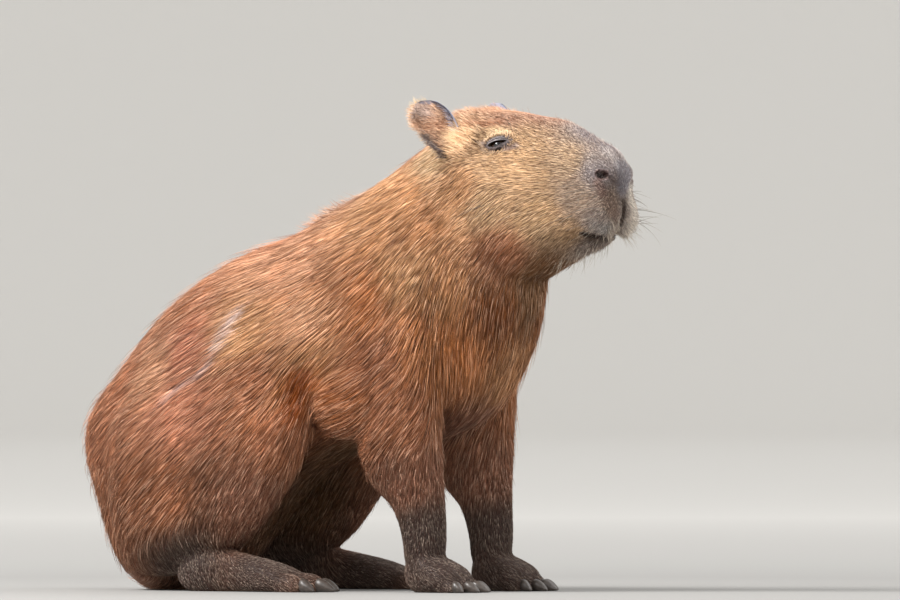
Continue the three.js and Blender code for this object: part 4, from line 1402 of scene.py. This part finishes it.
# Lids: an oval dome over the ball with an almond slit; rings run from the edge of the slit out under
# the skin and back inside. Folds run round the slit, deeper above it.
def makeLids(sideName, side, plan):
    forward, upward, out = eyeAxes(side)
    centre = atSide(eyePlan["centre"], side)
    around = turnsOf(plan["columns"])
    r = np.linspace(0, 1, plan["rows"])[:, None]
    cosA, sinA = np.cos(around)[None], np.sin(around)[None]
    slitHigh = np.where(sinA > 0, eyePlan["slitUp"], eyePlan["slitDown"])
    innerX = eyePlan["slitLong"] * cosA
    innerY = np.sign(sinA) * slitHigh * np.abs(sinA) ** 1.3 * (1 - 0.3 * cosA)
    x = innerX + (eyePlan["lidLong"] * 0.97 * cosA - innerX) * r
    y = innerY + (eyePlan["lidHigh"] * 0.97 * sinA - innerY) * r
    dome = np.sqrt(np.maximum(1 - lidOval(x, y), 0))
    sway = 0.035 * np.sin(around * 5 + 1)[None] + 0.02 * np.sin(around * 11)[None]
    above = smoothStep(-0.3, 0.5, sinA)
    folds = -1.1 * above * bell(r - 0.34 - sway, 0.065)
    folds = folds - (0.3 + 0.3 * above) * bell(r - 0.54 + sway, 0.05)
    folds = folds - 0.3 * (1 - above) * bell(r - 0.4 + sway, 0.06)
    folds = folds + 0.2 * np.sin(around * 23 + 14 * r) * bell(r - 0.45, 0.25)
    rim = 0.4 * bell(r, 0.08) + 0.6 * above * bell(r - 0.2, 0.1)
    deep = eyePlan["lidDeep"] * dome + folds + rim
    overBall = (eyePlan["radius"] * 1.03) ** 2 - x**2 - (y + eyePlan["drop"]) ** 2
    ball = np.sqrt(np.maximum(overBall, 9.0))
    outer = np.maximum(deep, np.where(r < 0.35, ball + 0.5, -9))  # never closer to the ball than 0.5
    outerRows, innerRows = (
        centre + x[..., None] * forward + y[..., None] * upward + height[..., None] * out
        for height in (outer, outer - eyePlan["lidThick"])
    )
    points, quads = closedBand(outerRows, innerRows, centre)
    name = f"lids_{sideName}"
    mesh = makeMesh(name, toScene(points), [quads])
    # Painted shade: high in the grooves of the folds; also high at the lid's own dark edge by the slit
    creaseShade = np.clip(-folds * 1.3 + 0.9 * smoothStep(0.12, 0.03, r), 0, 1)
    addValues(mesh, "creaseShade", np.concatenate([creaseShade, np.ones_like(creaseShade)]).ravel())
    finishPiece(name, mesh, materials["lidSkin"], "ear_skin")
    ground = hairGround(points, quads, gridMap(quads, 2 * plan["rows"], plan["columns"]))
    growLidHair(sideName, side, plan, ground)


# Short hair on the outer part of the lids, pointing away from the slit
def growLidHair(sideName, side, plan, ground):
    rng = np.random.default_rng(plan["seed"])
    forward, upward, _ = eyeAxes(side)

    # None near the slit, all from near the rim on, and none on the inside
    def weight(points):
        a, b, c = eyeCoordinates(points, side)
        return smoothStep(0.5, 0.85, np.sqrt(lidOval(a, b))) * (c > 3.0)

    count = plan["hairs"]
    roots, normals, mapped = scatterRoots(ground, weight, count, rng)
    a, b, _ = eyeCoordinates(roots, side)
    away = np.outer(a * 0.6 - 6, forward) + np.outer(b * 3, upward) + rng.normal(0, 2.5, (count, 3))
    length, rise = (rng.uniform(*plan[key], count) for key in ("length", "rise"))
    paths, ups = straightTufts(roots, normals, unit(away), length, rise, [0.45, 1.0])
    addHair(f"lid_hair_{sideName}", "coat_face", paths, ups, rng.uniform(*plan["width"], count),
            markingsAt(roots), rng.random(count), mapped, [0, 1, 0])


for sideName, side in sides.items():
    makeEye(sideName, side)
    makeLids(sideName, side, lidPlan)
print("eyes and lids made")


# Ears: a cupped flap that leans back, its front rim rolled over the hollow, a lobe low at the rear
earPlan = {
    "root": (248, 56, 520), "high": 54.0, "wide": 54.0, "below": 0.25, "top": 0.985, "widest": 0.46,
    "cup": 12.0, "thick": 3.4, "splay": 0.22, "turn": 0.5, "roll": 6.5, "lobe": -4.0, "bulge": 4.5,
    "pose": {"right": {"lean": 0.34, "size": 1.0, "fringed": 1.0},
             "left": {"lean": 0.17, "size": 0.975, "fringed": 0.6}},
    "rows": 60, "columns": 54, "rowPower": 1.5, "seed": 41,
    "coat": {"roots": 5200, "length": 13.0, "rise": 1.0, "width": 0.6},
    "fringe": {"roots": 1700, "length": 9.0, "rise": 1.0, "width": 0.42},
}
# Tones of the flap. 'deep' is painted shade, at the base of the hollow and under the rolled rim
earTones = {
    "hollow": (0.48, 0.29, 0.185), "lilac": (0.56, 0.42, 0.36), "warm": (0.44, 0.20, 0.095),
    "deep": (0.11, 0.05, 0.035), "rim": (0.24, 0.255, 0.34), "edge": (0.10, 0.085, 0.09),
    "back": (0.40, 0.22, 0.12), "pale": (0.70, 0.47, 0.22),
}


# Colour of the flap by the share of its height, the place across it and whether it's on the hollow
def earToneAt(share, across, hollow):
    tone = np.where(hollow[:, None], earTones["hollow"], earTones["back"])
    lilac = hollow * bell(share - 0.72, 0.17) * smoothStep(-0.35, 0.1, across)
    for colour, amount in (
        ("lilac", lilac * smoothStep(1.0, 0.6, across)),
        ("warm", 0.75 * hollow * bell(share - 0.42, 0.13) * smoothStep(0.95, 0.4, across)),
        # Painted shade: dark low at the front of the hollow, and in a line just inside the rolled rim
        ("deep", 0.8 * hollow * smoothStep(0.4, 0.0, share) * smoothStep(0.2, -0.5, across)),
        ("deep", 0.6 * hollow * bell(across + 0.5, 0.12)),
        ("rim", smoothStep(-0.55, -0.75, across) * smoothStep(0.0, 0.3, share)),
        ("rim", 0.8 * smoothStep(0.86, 0.95, share)),
        ("edge", 0.85 * smoothStep(0.74, 0.9, across)),
        ("edge", 0.95 * smoothStep(0.3, 0.15, share) * smoothStep(0.2, 0.55, across)),
    ):
        tone = tone + amount[:, None] * (np.array(earTones[colour]) - tone)
    return tone


# The flap of an ear: at each share of its height, a row across it that is as wide as the outline,
# with the rolled rim, lobe, notch, bulge and waves of its edges, and stands proud by the cup. Gives
# rings of the hollow's row and the back's, and the middle of a line that the fringe points away from.
def earFlap(plan, pose, side, share, across):
    high = plan["high"] * pose["size"]
    over = np.maximum(1 - np.abs((share - plan["widest"]) / (1 - plan["widest"])) ** 2.5, 0) ** 0.4
    half = plan["wide"] / 2 * np.where(share > plan["widest"], over, 0.4 + 0.6 * over)
    rolled = smoothStep(-0.6, -1.0, across) * smoothStep(0.05, 0.35, share)
    curled = smoothStep(0.72, 1.0, across) * smoothStep(0.2, 0.35, share)
    curled = curled * smoothStep(0.9, 0.7, share)
    lobe = plan["lobe"] * smoothStep(0.3, 1, across) * bell(share - 0.08, 0.14)
    notch = 3.2 * smoothStep(0.5, 1.0, across) * bell(share - 0.3, 0.06)
    wave = 0.7 * np.sin(share * 21) * smoothStep(0.6, 1, across)
    bulge = plan["bulge"] * smoothStep(0.1, 1, across) * bell(share - 0.52, 0.2)
    along = across * half + rolled * plan["roll"] + lobe + bulge - notch - curled * 2.4 + wave
    proud = plan["cup"] * np.minimum(1, 1.2 - share) * across**2 + rolled * 4.0 + curled * 2.4
    proud = proud + 1.3 * bell(across - 0.1, 0.12) * smoothStep(0.75, 0.2, share)
    proud = proud - 2.2 * bell(across + 0.45, 0.2) * smoothStep(0.8, 0.3, share)
    thick = plan["thick"] * (1 - 0.35 * share) * (1 - 0.5 * smoothStep(0.6, 1, across)) + rolled * 2.2

    # A place of the ear from how far along its row and how proud it is: turned outwards, leant back by
    # the share of its height and splayed by it
    def placed(along, proud):
        back = along * math.cos(plan["turn"]) - proud * math.sin(plan["turn"])
        out = along * math.sin(plan["turn"]) + proud * math.cos(plan["turn"])
        x = plan["root"][0] - pose["lean"] * share * high - back
        y = plan["root"][1] + plan["splay"] * share * high + out
        z = plan["root"][2] + share * high + 0 * back
        return np.stack([x, side * y, z], -1)

    rings = np.concatenate([placed(along, proud), placed(along, proud - thick)[:, ::-1]], axis=1)
    return rings, placed(-6.0, 0.0).mean(0)


# One ear: its flap closed to a solid, and the hair of its hollow, its back and its edge
def makeEar(sideName, side, plan):
    pose = plan["pose"][sideName]
    rows, columns = plan["rows"], plan["columns"]
    high = plan["top"] + plan["below"]
    share = plan["top"] - high * np.linspace(1, 0, rows)[:, None] ** plan["rowPower"]
    across = np.linspace(-1, 1, columns)[None]
    rings, core = earFlap(plan, pose, side, share, across)
    points, quads, caps = closedLoft(rings, rings[0].mean(0), rings[-1].mean(0) + (0, 0, 0.6))
    shares = np.concatenate([[-plan["below"]], np.repeat(share, 2 * columns, 1).ravel(), [plan["top"]]])
    oneRow = np.concatenate([across[0], across[0, ::-1]])
    acrosses = np.concatenate([[0], np.tile(oneRow, rows), [0]])
    hollow = np.concatenate([[0], np.tile(np.arange(2 * columns) < columns, rows), [1]]) > 0
    name = f"earflap_{sideName}"
    mesh = makeMesh(name, toScene(points), [quads, caps])
    addColours(mesh, "markings", earToneAt(shares, acrosses, hollow))
    finishPiece(name, mesh, materials["earSkin"], "ear_skin", f"ear_{sideName}")

    onFlap = np.stack([shares, acrosses, hollow], 1)[quads]
    cornerMap = np.concatenate([gridMap(quads - 1, rows, 2 * columns), onFlap], -1)
    ground = hairGround(points, quads, cornerMap)
    rng = np.random.default_rng(plan["seed"])

    # The place on the hollow at a share of its height and a place across, between four of its points
    def onHollow(share, across):
        row = (1 - ((plan["top"] - share) / high) ** (1 / plan["rowPower"])) * (rows - 1)
        column = (across + 1) / 2 * (columns - 1)
        i = np.clip(row.astype(int), 0, rows - 2)
        k = np.clip(column.astype(int), 0, columns - 2)
        a, b = (row - i)[:, None], (column - k)[:, None]
        low = rings[i, k] * (1 - b) + rings[i, k + 1] * b
        return low * (1 - a) + (rings[i + 1, k] * (1 - b) + rings[i + 1, k + 1] * b) * a

    # Hair on the roots that are wanted. In the hollow it runs back along the flap, elsewhere straight
    def grow(label, plot, wanted, lie, tone=None):
        found = scatterRoots(ground, lambda places: np.ones(len(places)), plot["roots"], rng)
        share, across, front = found[2][:, 2:].T
        keep = np.flatnonzero(wanted(share, across, front > 0.5))
        roots, normals, mapped = (values[keep] for values in found)
        share, across, front = mapped[:, 2:].T
        count = len(keep)
        long = rng.uniform(0.6, 1.2, count) * plot["length"]
        rise = rng.uniform(0.3, 1, count) * plot["rise"]
        lies = unit(lie(roots) + rng.normal(0, 0.2, (count, 3)))
        paths, ups = straightTufts(roots, normals, lies, long, rise, [0.45, 1.0])
        if tone is None:
            climb = rng.normal(0.06, 0.09, count)
            span = long / (plan["wide"] / 2)
            for k, step in ((1, 0.45), (2, 1.0)):
                laid = onHollow(share + climb * step, across + span * step)
                laid = laid + normals * (rise * step**0.8)[:, None]
                paths[:, k] = np.where(front[:, None] > 0.5, laid, paths[:, k])
            marking = earToneAt(share, across * 0.8, front > 0.5)
        else:
            marking = np.tile(tone, (count, 1))
        width = rng.uniform(0.6, 1.2, count) * plot["width"]
        addHair(f"{label}_{sideName}", "ear_skin", paths, ups, width, marking,
                rng.uniform(0.05, 1, count), mapped[:, :2], [0, 1, 0])

    grow("ear_hair", plan["coat"],
         lambda share, across, front: ((across > -0.6) | ~front) & (share < 0.88) & (across < 0.92),
         lambda roots: np.array([-0.8, side * 0.54, 0.25]))
    grow("ear_fringe", plan["fringe"],
         lambda share, across, front: (share < pose["fringed"])
         & (((across > 0.82) & (share > 0.05)) | ((share > 0.88) & (across > 0.3))),
         lambda roots: unit(roots - core) + np.array([-0.5, 0, 0.1]), earTones["pale"])


for sideName, side in sides.items():
    makeEar(sideName, side, earPlan)
print("ears made")


# Tufts that stand off the coat: fur of the temples over the front of the ears, ruffled crown and
# withers, bridge of the nose, fringes of the lips and the chin. The count is the seed as well.
tuftPlan = {
    "temple": {"place": (281, 64, 533), "radii": (13, 14, 16), "lie": (-0.85, 0.22, 0.3),
               "length": (18, 28), "rise": (1.0, 4.0), "count": 1300},
    "crown": {"place": (258, 28, 562), "radii": (30, 30, 14), "lie": (-0.8, 0.0, 0.2),
              "length": (8, 15), "rise": (1.0, 3.6), "count": 600},
    "bridge": {"place": (412, 6, 536), "radii": (34, 14, 12), "lie": (-0.7, 0.1, 0.5),
               "length": (4, 8), "rise": (1.0, 3.0), "count": 600},
    "withers": {"place": (62, 10, 450), "radii": (26, 40, 20), "lie": (-0.85, 0.0, 0.0),
                "length": (16, 26), "rise": (2.0, 5.5), "count": 320},
    "lips": {"place": (450, 22, 432), "radii": (10, 16, 22), "lie": (0.3, 0.5, -0.8),
             "length": (3, 7), "rise": (0.5, 2.0), "count": 700},
    "beard": {"place": (398, 12, 396), "radii": (30, 16, 12), "lie": (-0.6, 0.1, -0.75),
              "length": (5, 9), "rise": (0.5, 2.0), "count": 500},
}


# A bell of roots round the place, none on bare skin, each hair near the lie
def growTufts(name, side, plan):
    count = plan["count"]
    rng = np.random.default_rng(count)
    place = atSide(plan["place"], side)

    # The bell of the place and radii, times how furry the skin is
    def weight(points):
        return np.exp(-(((points - place) / plan["radii"]) ** 2).sum(1)) * (1 - bareAt(points))

    roots, normals, mapped = scatterRoots(skinGround, weight, count, rng)
    lies = unit(atSide(plan["lie"], side) + rng.normal(0, 0.17, (count, 3)))
    length, rise = (rng.uniform(*plan[key], count) for key in ("length", "rise"))
    paths, ups = straightTufts(roots, normals, lies, length, rise, [0.45, 1.0])
    addHair(name, "coat_face", paths, ups, rng.uniform(0.45, 0.75, count), markingsAt(paths[:, 1]),
            rng.uniform(0.1, 1, count), mapped, [0, 1, 0])


for sideName, side in sides.items():
    for group, plan in tuftPlan.items():
        growTufts(f"tufts_{group}_{sideName}", side, plan)
print("tufts made")


# Whiskers: thin tapered stalks that spring from the muzzle, bend back and sink a little; paler ones
# on the lips and under the chin, a few over each eye
whiskerPlan = {
    "muzzle": {"count": 26, "from": (404, 30, 428), "to": (446, 44, 474), "lie": (0.28, 1.0, -0.05),
               "length": (34, 82), "bend": (-0.35, 0.0, -0.22), "radius": 0.34, "shade": 0.08},
    "lip": {"count": 52, "from": (438, 6, 412), "to": (452, 30, 440), "lie": (0.5, 0.45, -0.65),
            "length": (12, 24), "bend": (-0.1, 0.0, -0.3), "radius": 0.22, "shade": 1.0},
    "chin": {"count": 22, "from": (370, 6, 385), "to": (430, 24, 405), "lie": (-0.1, 0.35, -1.0),
             "length": (14, 30), "bend": (-0.5, 0.0, -0.1), "radius": 0.26, "shade": 0.9},
    "brow": {"count": 4, "from": (308, 46, 538), "to": (332, 60, 546), "lie": (0.35, 0.75, 0.8),
             "length": (28, 46), "bend": (-0.6, 0.0, -0.25), "radius": 0.26, "shade": 0.05},
    "cheek": {"count": 5, "from": (300, 60, 420), "to": (350, 74, 470), "lie": (-0.2, 1.0, -0.2),
              "length": (26, 48), "bend": (-0.7, 0.0, -0.3), "radius": 0.26, "shade": 0.05},
}


# Each stalk starts at a random place of its box, laid on the skin, and runs by length times
# (lie t + half of bend t to the power 2.2), four-sided, down to a fifth of its radius
def makeWhiskers(name, side, plan):
    rng = np.random.default_rng(len(name) * 7 + 1)
    count = plan["count"]
    low, high = np.array(plan["from"], float), np.array(plan["to"], float)
    roots, _ = nearestOnSkin(atSide(low + (high - low) * rng.random((count, 3)), side))
    lie = atSide(unit(np.array(plan["lie"]) + rng.normal(0, 0.14, (count, 3))), side)
    bend = np.array(plan["bend"]) * rng.uniform(0.6, 1.3, (count, 1))
    length = rng.uniform(*plan["length"], count)[:, None]
    stops = np.linspace(0, 1, 11)
    path = np.stack([roots - lie + length * (lie * t + bend * t**2.2 / 2) for t in stops], 1)
    ahead = unit(path[:, -1] - path[:, 0])
    first = unit(np.cross(ahead, np.array([0.0, 0.0, 1.0])))
    second = np.cross(ahead, first)
    angle = turnsOf(4)[None, :, None]
    ring = np.cos(angle) * first[:, None] + np.sin(angle) * second[:, None]
    thick = plan["radius"] * (1 - 0.82 * stops[1:-1])
    rings = path[:, 1:-1, None] + thick[None, :, None, None] * ring[:, None]
    stalks = [closedLoft(rings[k], path[k, 0], path[k, -1]) for k in range(count)]
    points, quads, caps = joinSurfaces(stalks)
    mesh = makeMesh(name, toScene(points), [quads, caps])
    along = np.concatenate([[0], np.repeat(stops[1:-1], 4), [1]])
    addValues(mesh, "along", np.tile(along, count))
    addValues(mesh, "shade", np.full(len(points), plan["shade"]))
    finishPiece(name, mesh, materials["whisker"], "coat_face")


for sideName, side in sides.items():
    for group, plan in whiskerPlan.items():
        makeWhiskers(f"whiskers_{group}_{sideName}", side, plan)
print("whiskers made")


# Claws: smooth blunt horns in place of the solids' plain ones
for sideName, side in sides.items():
    for foot, plan in toePlan.items():
        for k in range(plan["count"]):
            points, quads, caps = clawForm(plan, side, k)
            points[:, 2] = np.maximum(points[:, 2], overFloor["claw"])
            name = f"{foot}_nail_{sideName}_{k + 1}"
            mesh = makeMesh(name, toScene(points), [quads, caps])
            finishPiece(name, mesh, materials["clawHorn"], "claw", f"{foot}_claw_{sideName}_{k + 1}")
print("claws made")


# Stage: a round floor, dim near the animal, that curves up far away into a pale wall
stagePlan = {
    "first": 0.3, "flat": 31.0, "curve": 6.0, "wall": 12.0,
    "flatRings": 8, "curveRings": 15, "spokes": 96,
    "near": (0.24, 0.236, 0.228), "far": (0.74, 0.73, 0.71), "fade": (1.2, 8.0),
}


# The tone goes from near to far with the distance from the middle
def paintStage(tree, shader, mottle):
    place = addNode(tree, "ShaderNodeTexCoord").outputs["Object"]
    reach = addNode(tree, "ShaderNodeVectorMath", {0: place}, operation="LENGTH").outputs["Value"]
    share = rangeOf(tree, reach, stagePlan["fade"])
    return mixColours(tree, share, stagePlan["near"], stagePlan["far"])


# Rings round the middle: flat ones, then a quarter of a circle up, then the top of the wall
def makeStage(plan):
    bend = np.linspace(0, math.pi / 2, plan["curveRings"] + 1)[1:]
    flat, curve, spokes = plan["flat"], plan["curve"], plan["spokes"]
    radius = np.concatenate([np.linspace(plan["first"], flat, plan["flatRings"]),
                             flat + curve * np.sin(bend), [flat + curve]])
    level = np.concatenate([np.zeros(plan["flatRings"]), curve * (1 - np.cos(bend)), [plan["wall"]]])
    around = turnsOf(spokes)
    rings = np.stack([radius[:, None] * np.cos(around), radius[:, None] * np.sin(around),
                      np.repeat(level[:, None], spokes, 1)], -1)
    points = np.concatenate([[(0, 0, 0)], rings.reshape(-1, 3)])
    k = np.arange(spokes)
    middle = np.stack([np.zeros_like(k), 1 + k, 1 + (k + 1) % spokes], -1)
    quads = 1 + gridQuads(len(rings), spokes)[:, [0, 3, 2, 1]]
    stage = addPiece("stage_floor", makeMesh("stage_floor", points, [quads, middle]))
    stage.data.materials.append(makeMaterial("stagePale", paintStage))


# Soft round lights, all aimed at the middle of the body: most from above, one low in front
lightAim = np.array([0, 0, 0.3])
lightPlan = {
    "key": {"place": (-2.0, -2.7, 3.7), "size": 2.4, "power": 438.0, "colour": (1.0, 0.985, 0.97)},
    "fill": {"place": (3.8, -2.6, 2.0), "size": 2.6, "power": 60.0, "colour": (1.0, 0.98, 0.96)},
    "catch": {"place": (-0.9, -4.2, 3.1), "size": 0.6, "power": 40.0, "colour": (1.0, 1.0, 1.0)},
    "rim": {"place": (2.2, 2.4, 3.4), "size": 2.0, "power": 50.0, "colour": (0.96, 0.98, 1.0)},
    "front": {"place": (4.6, 1.2, 1.3), "size": 1.8, "power": 55.0, "colour": (1.0, 1.0, 1.0)},
}
skyPlan = {"colour": (1.0, 0.985, 0.96, 1.0), "strength": 0.95}


# Each lamp's axis is turned from straight down to the line from its place to the aim
def addLights():
    for name, plan in lightPlan.items():
        light = bpy.data.lights.new(name, "AREA")
        light.shape = "DISK"
        light.size = plan["size"]
        light.energy = plan["power"]
        light.color = plan["colour"]
        lamp = bpy.data.objects.new(name, light)
        toward = lightAim - plan["place"]
        toward /= np.linalg.norm(toward)
        lamp.location = plan["place"]
        lamp.rotation_euler = (math.acos(-toward[2]), 0, math.atan2(toward[1], toward[0]) - math.pi / 2)
        scene.collection.objects.link(lamp)
    world = bpy.data.worlds.new("studio")
    world.use_nodes = True
    sky = world.node_tree.nodes["Background"]
    sky.inputs["Color"].default_value = skyPlan["colour"]
    sky.inputs["Strength"].default_value = skyPlan["strength"]
    scene.world = world
    scene.view_settings.view_transform = "Standard"


makeStage(stagePlan)
addLights()
print("stage and lights made")
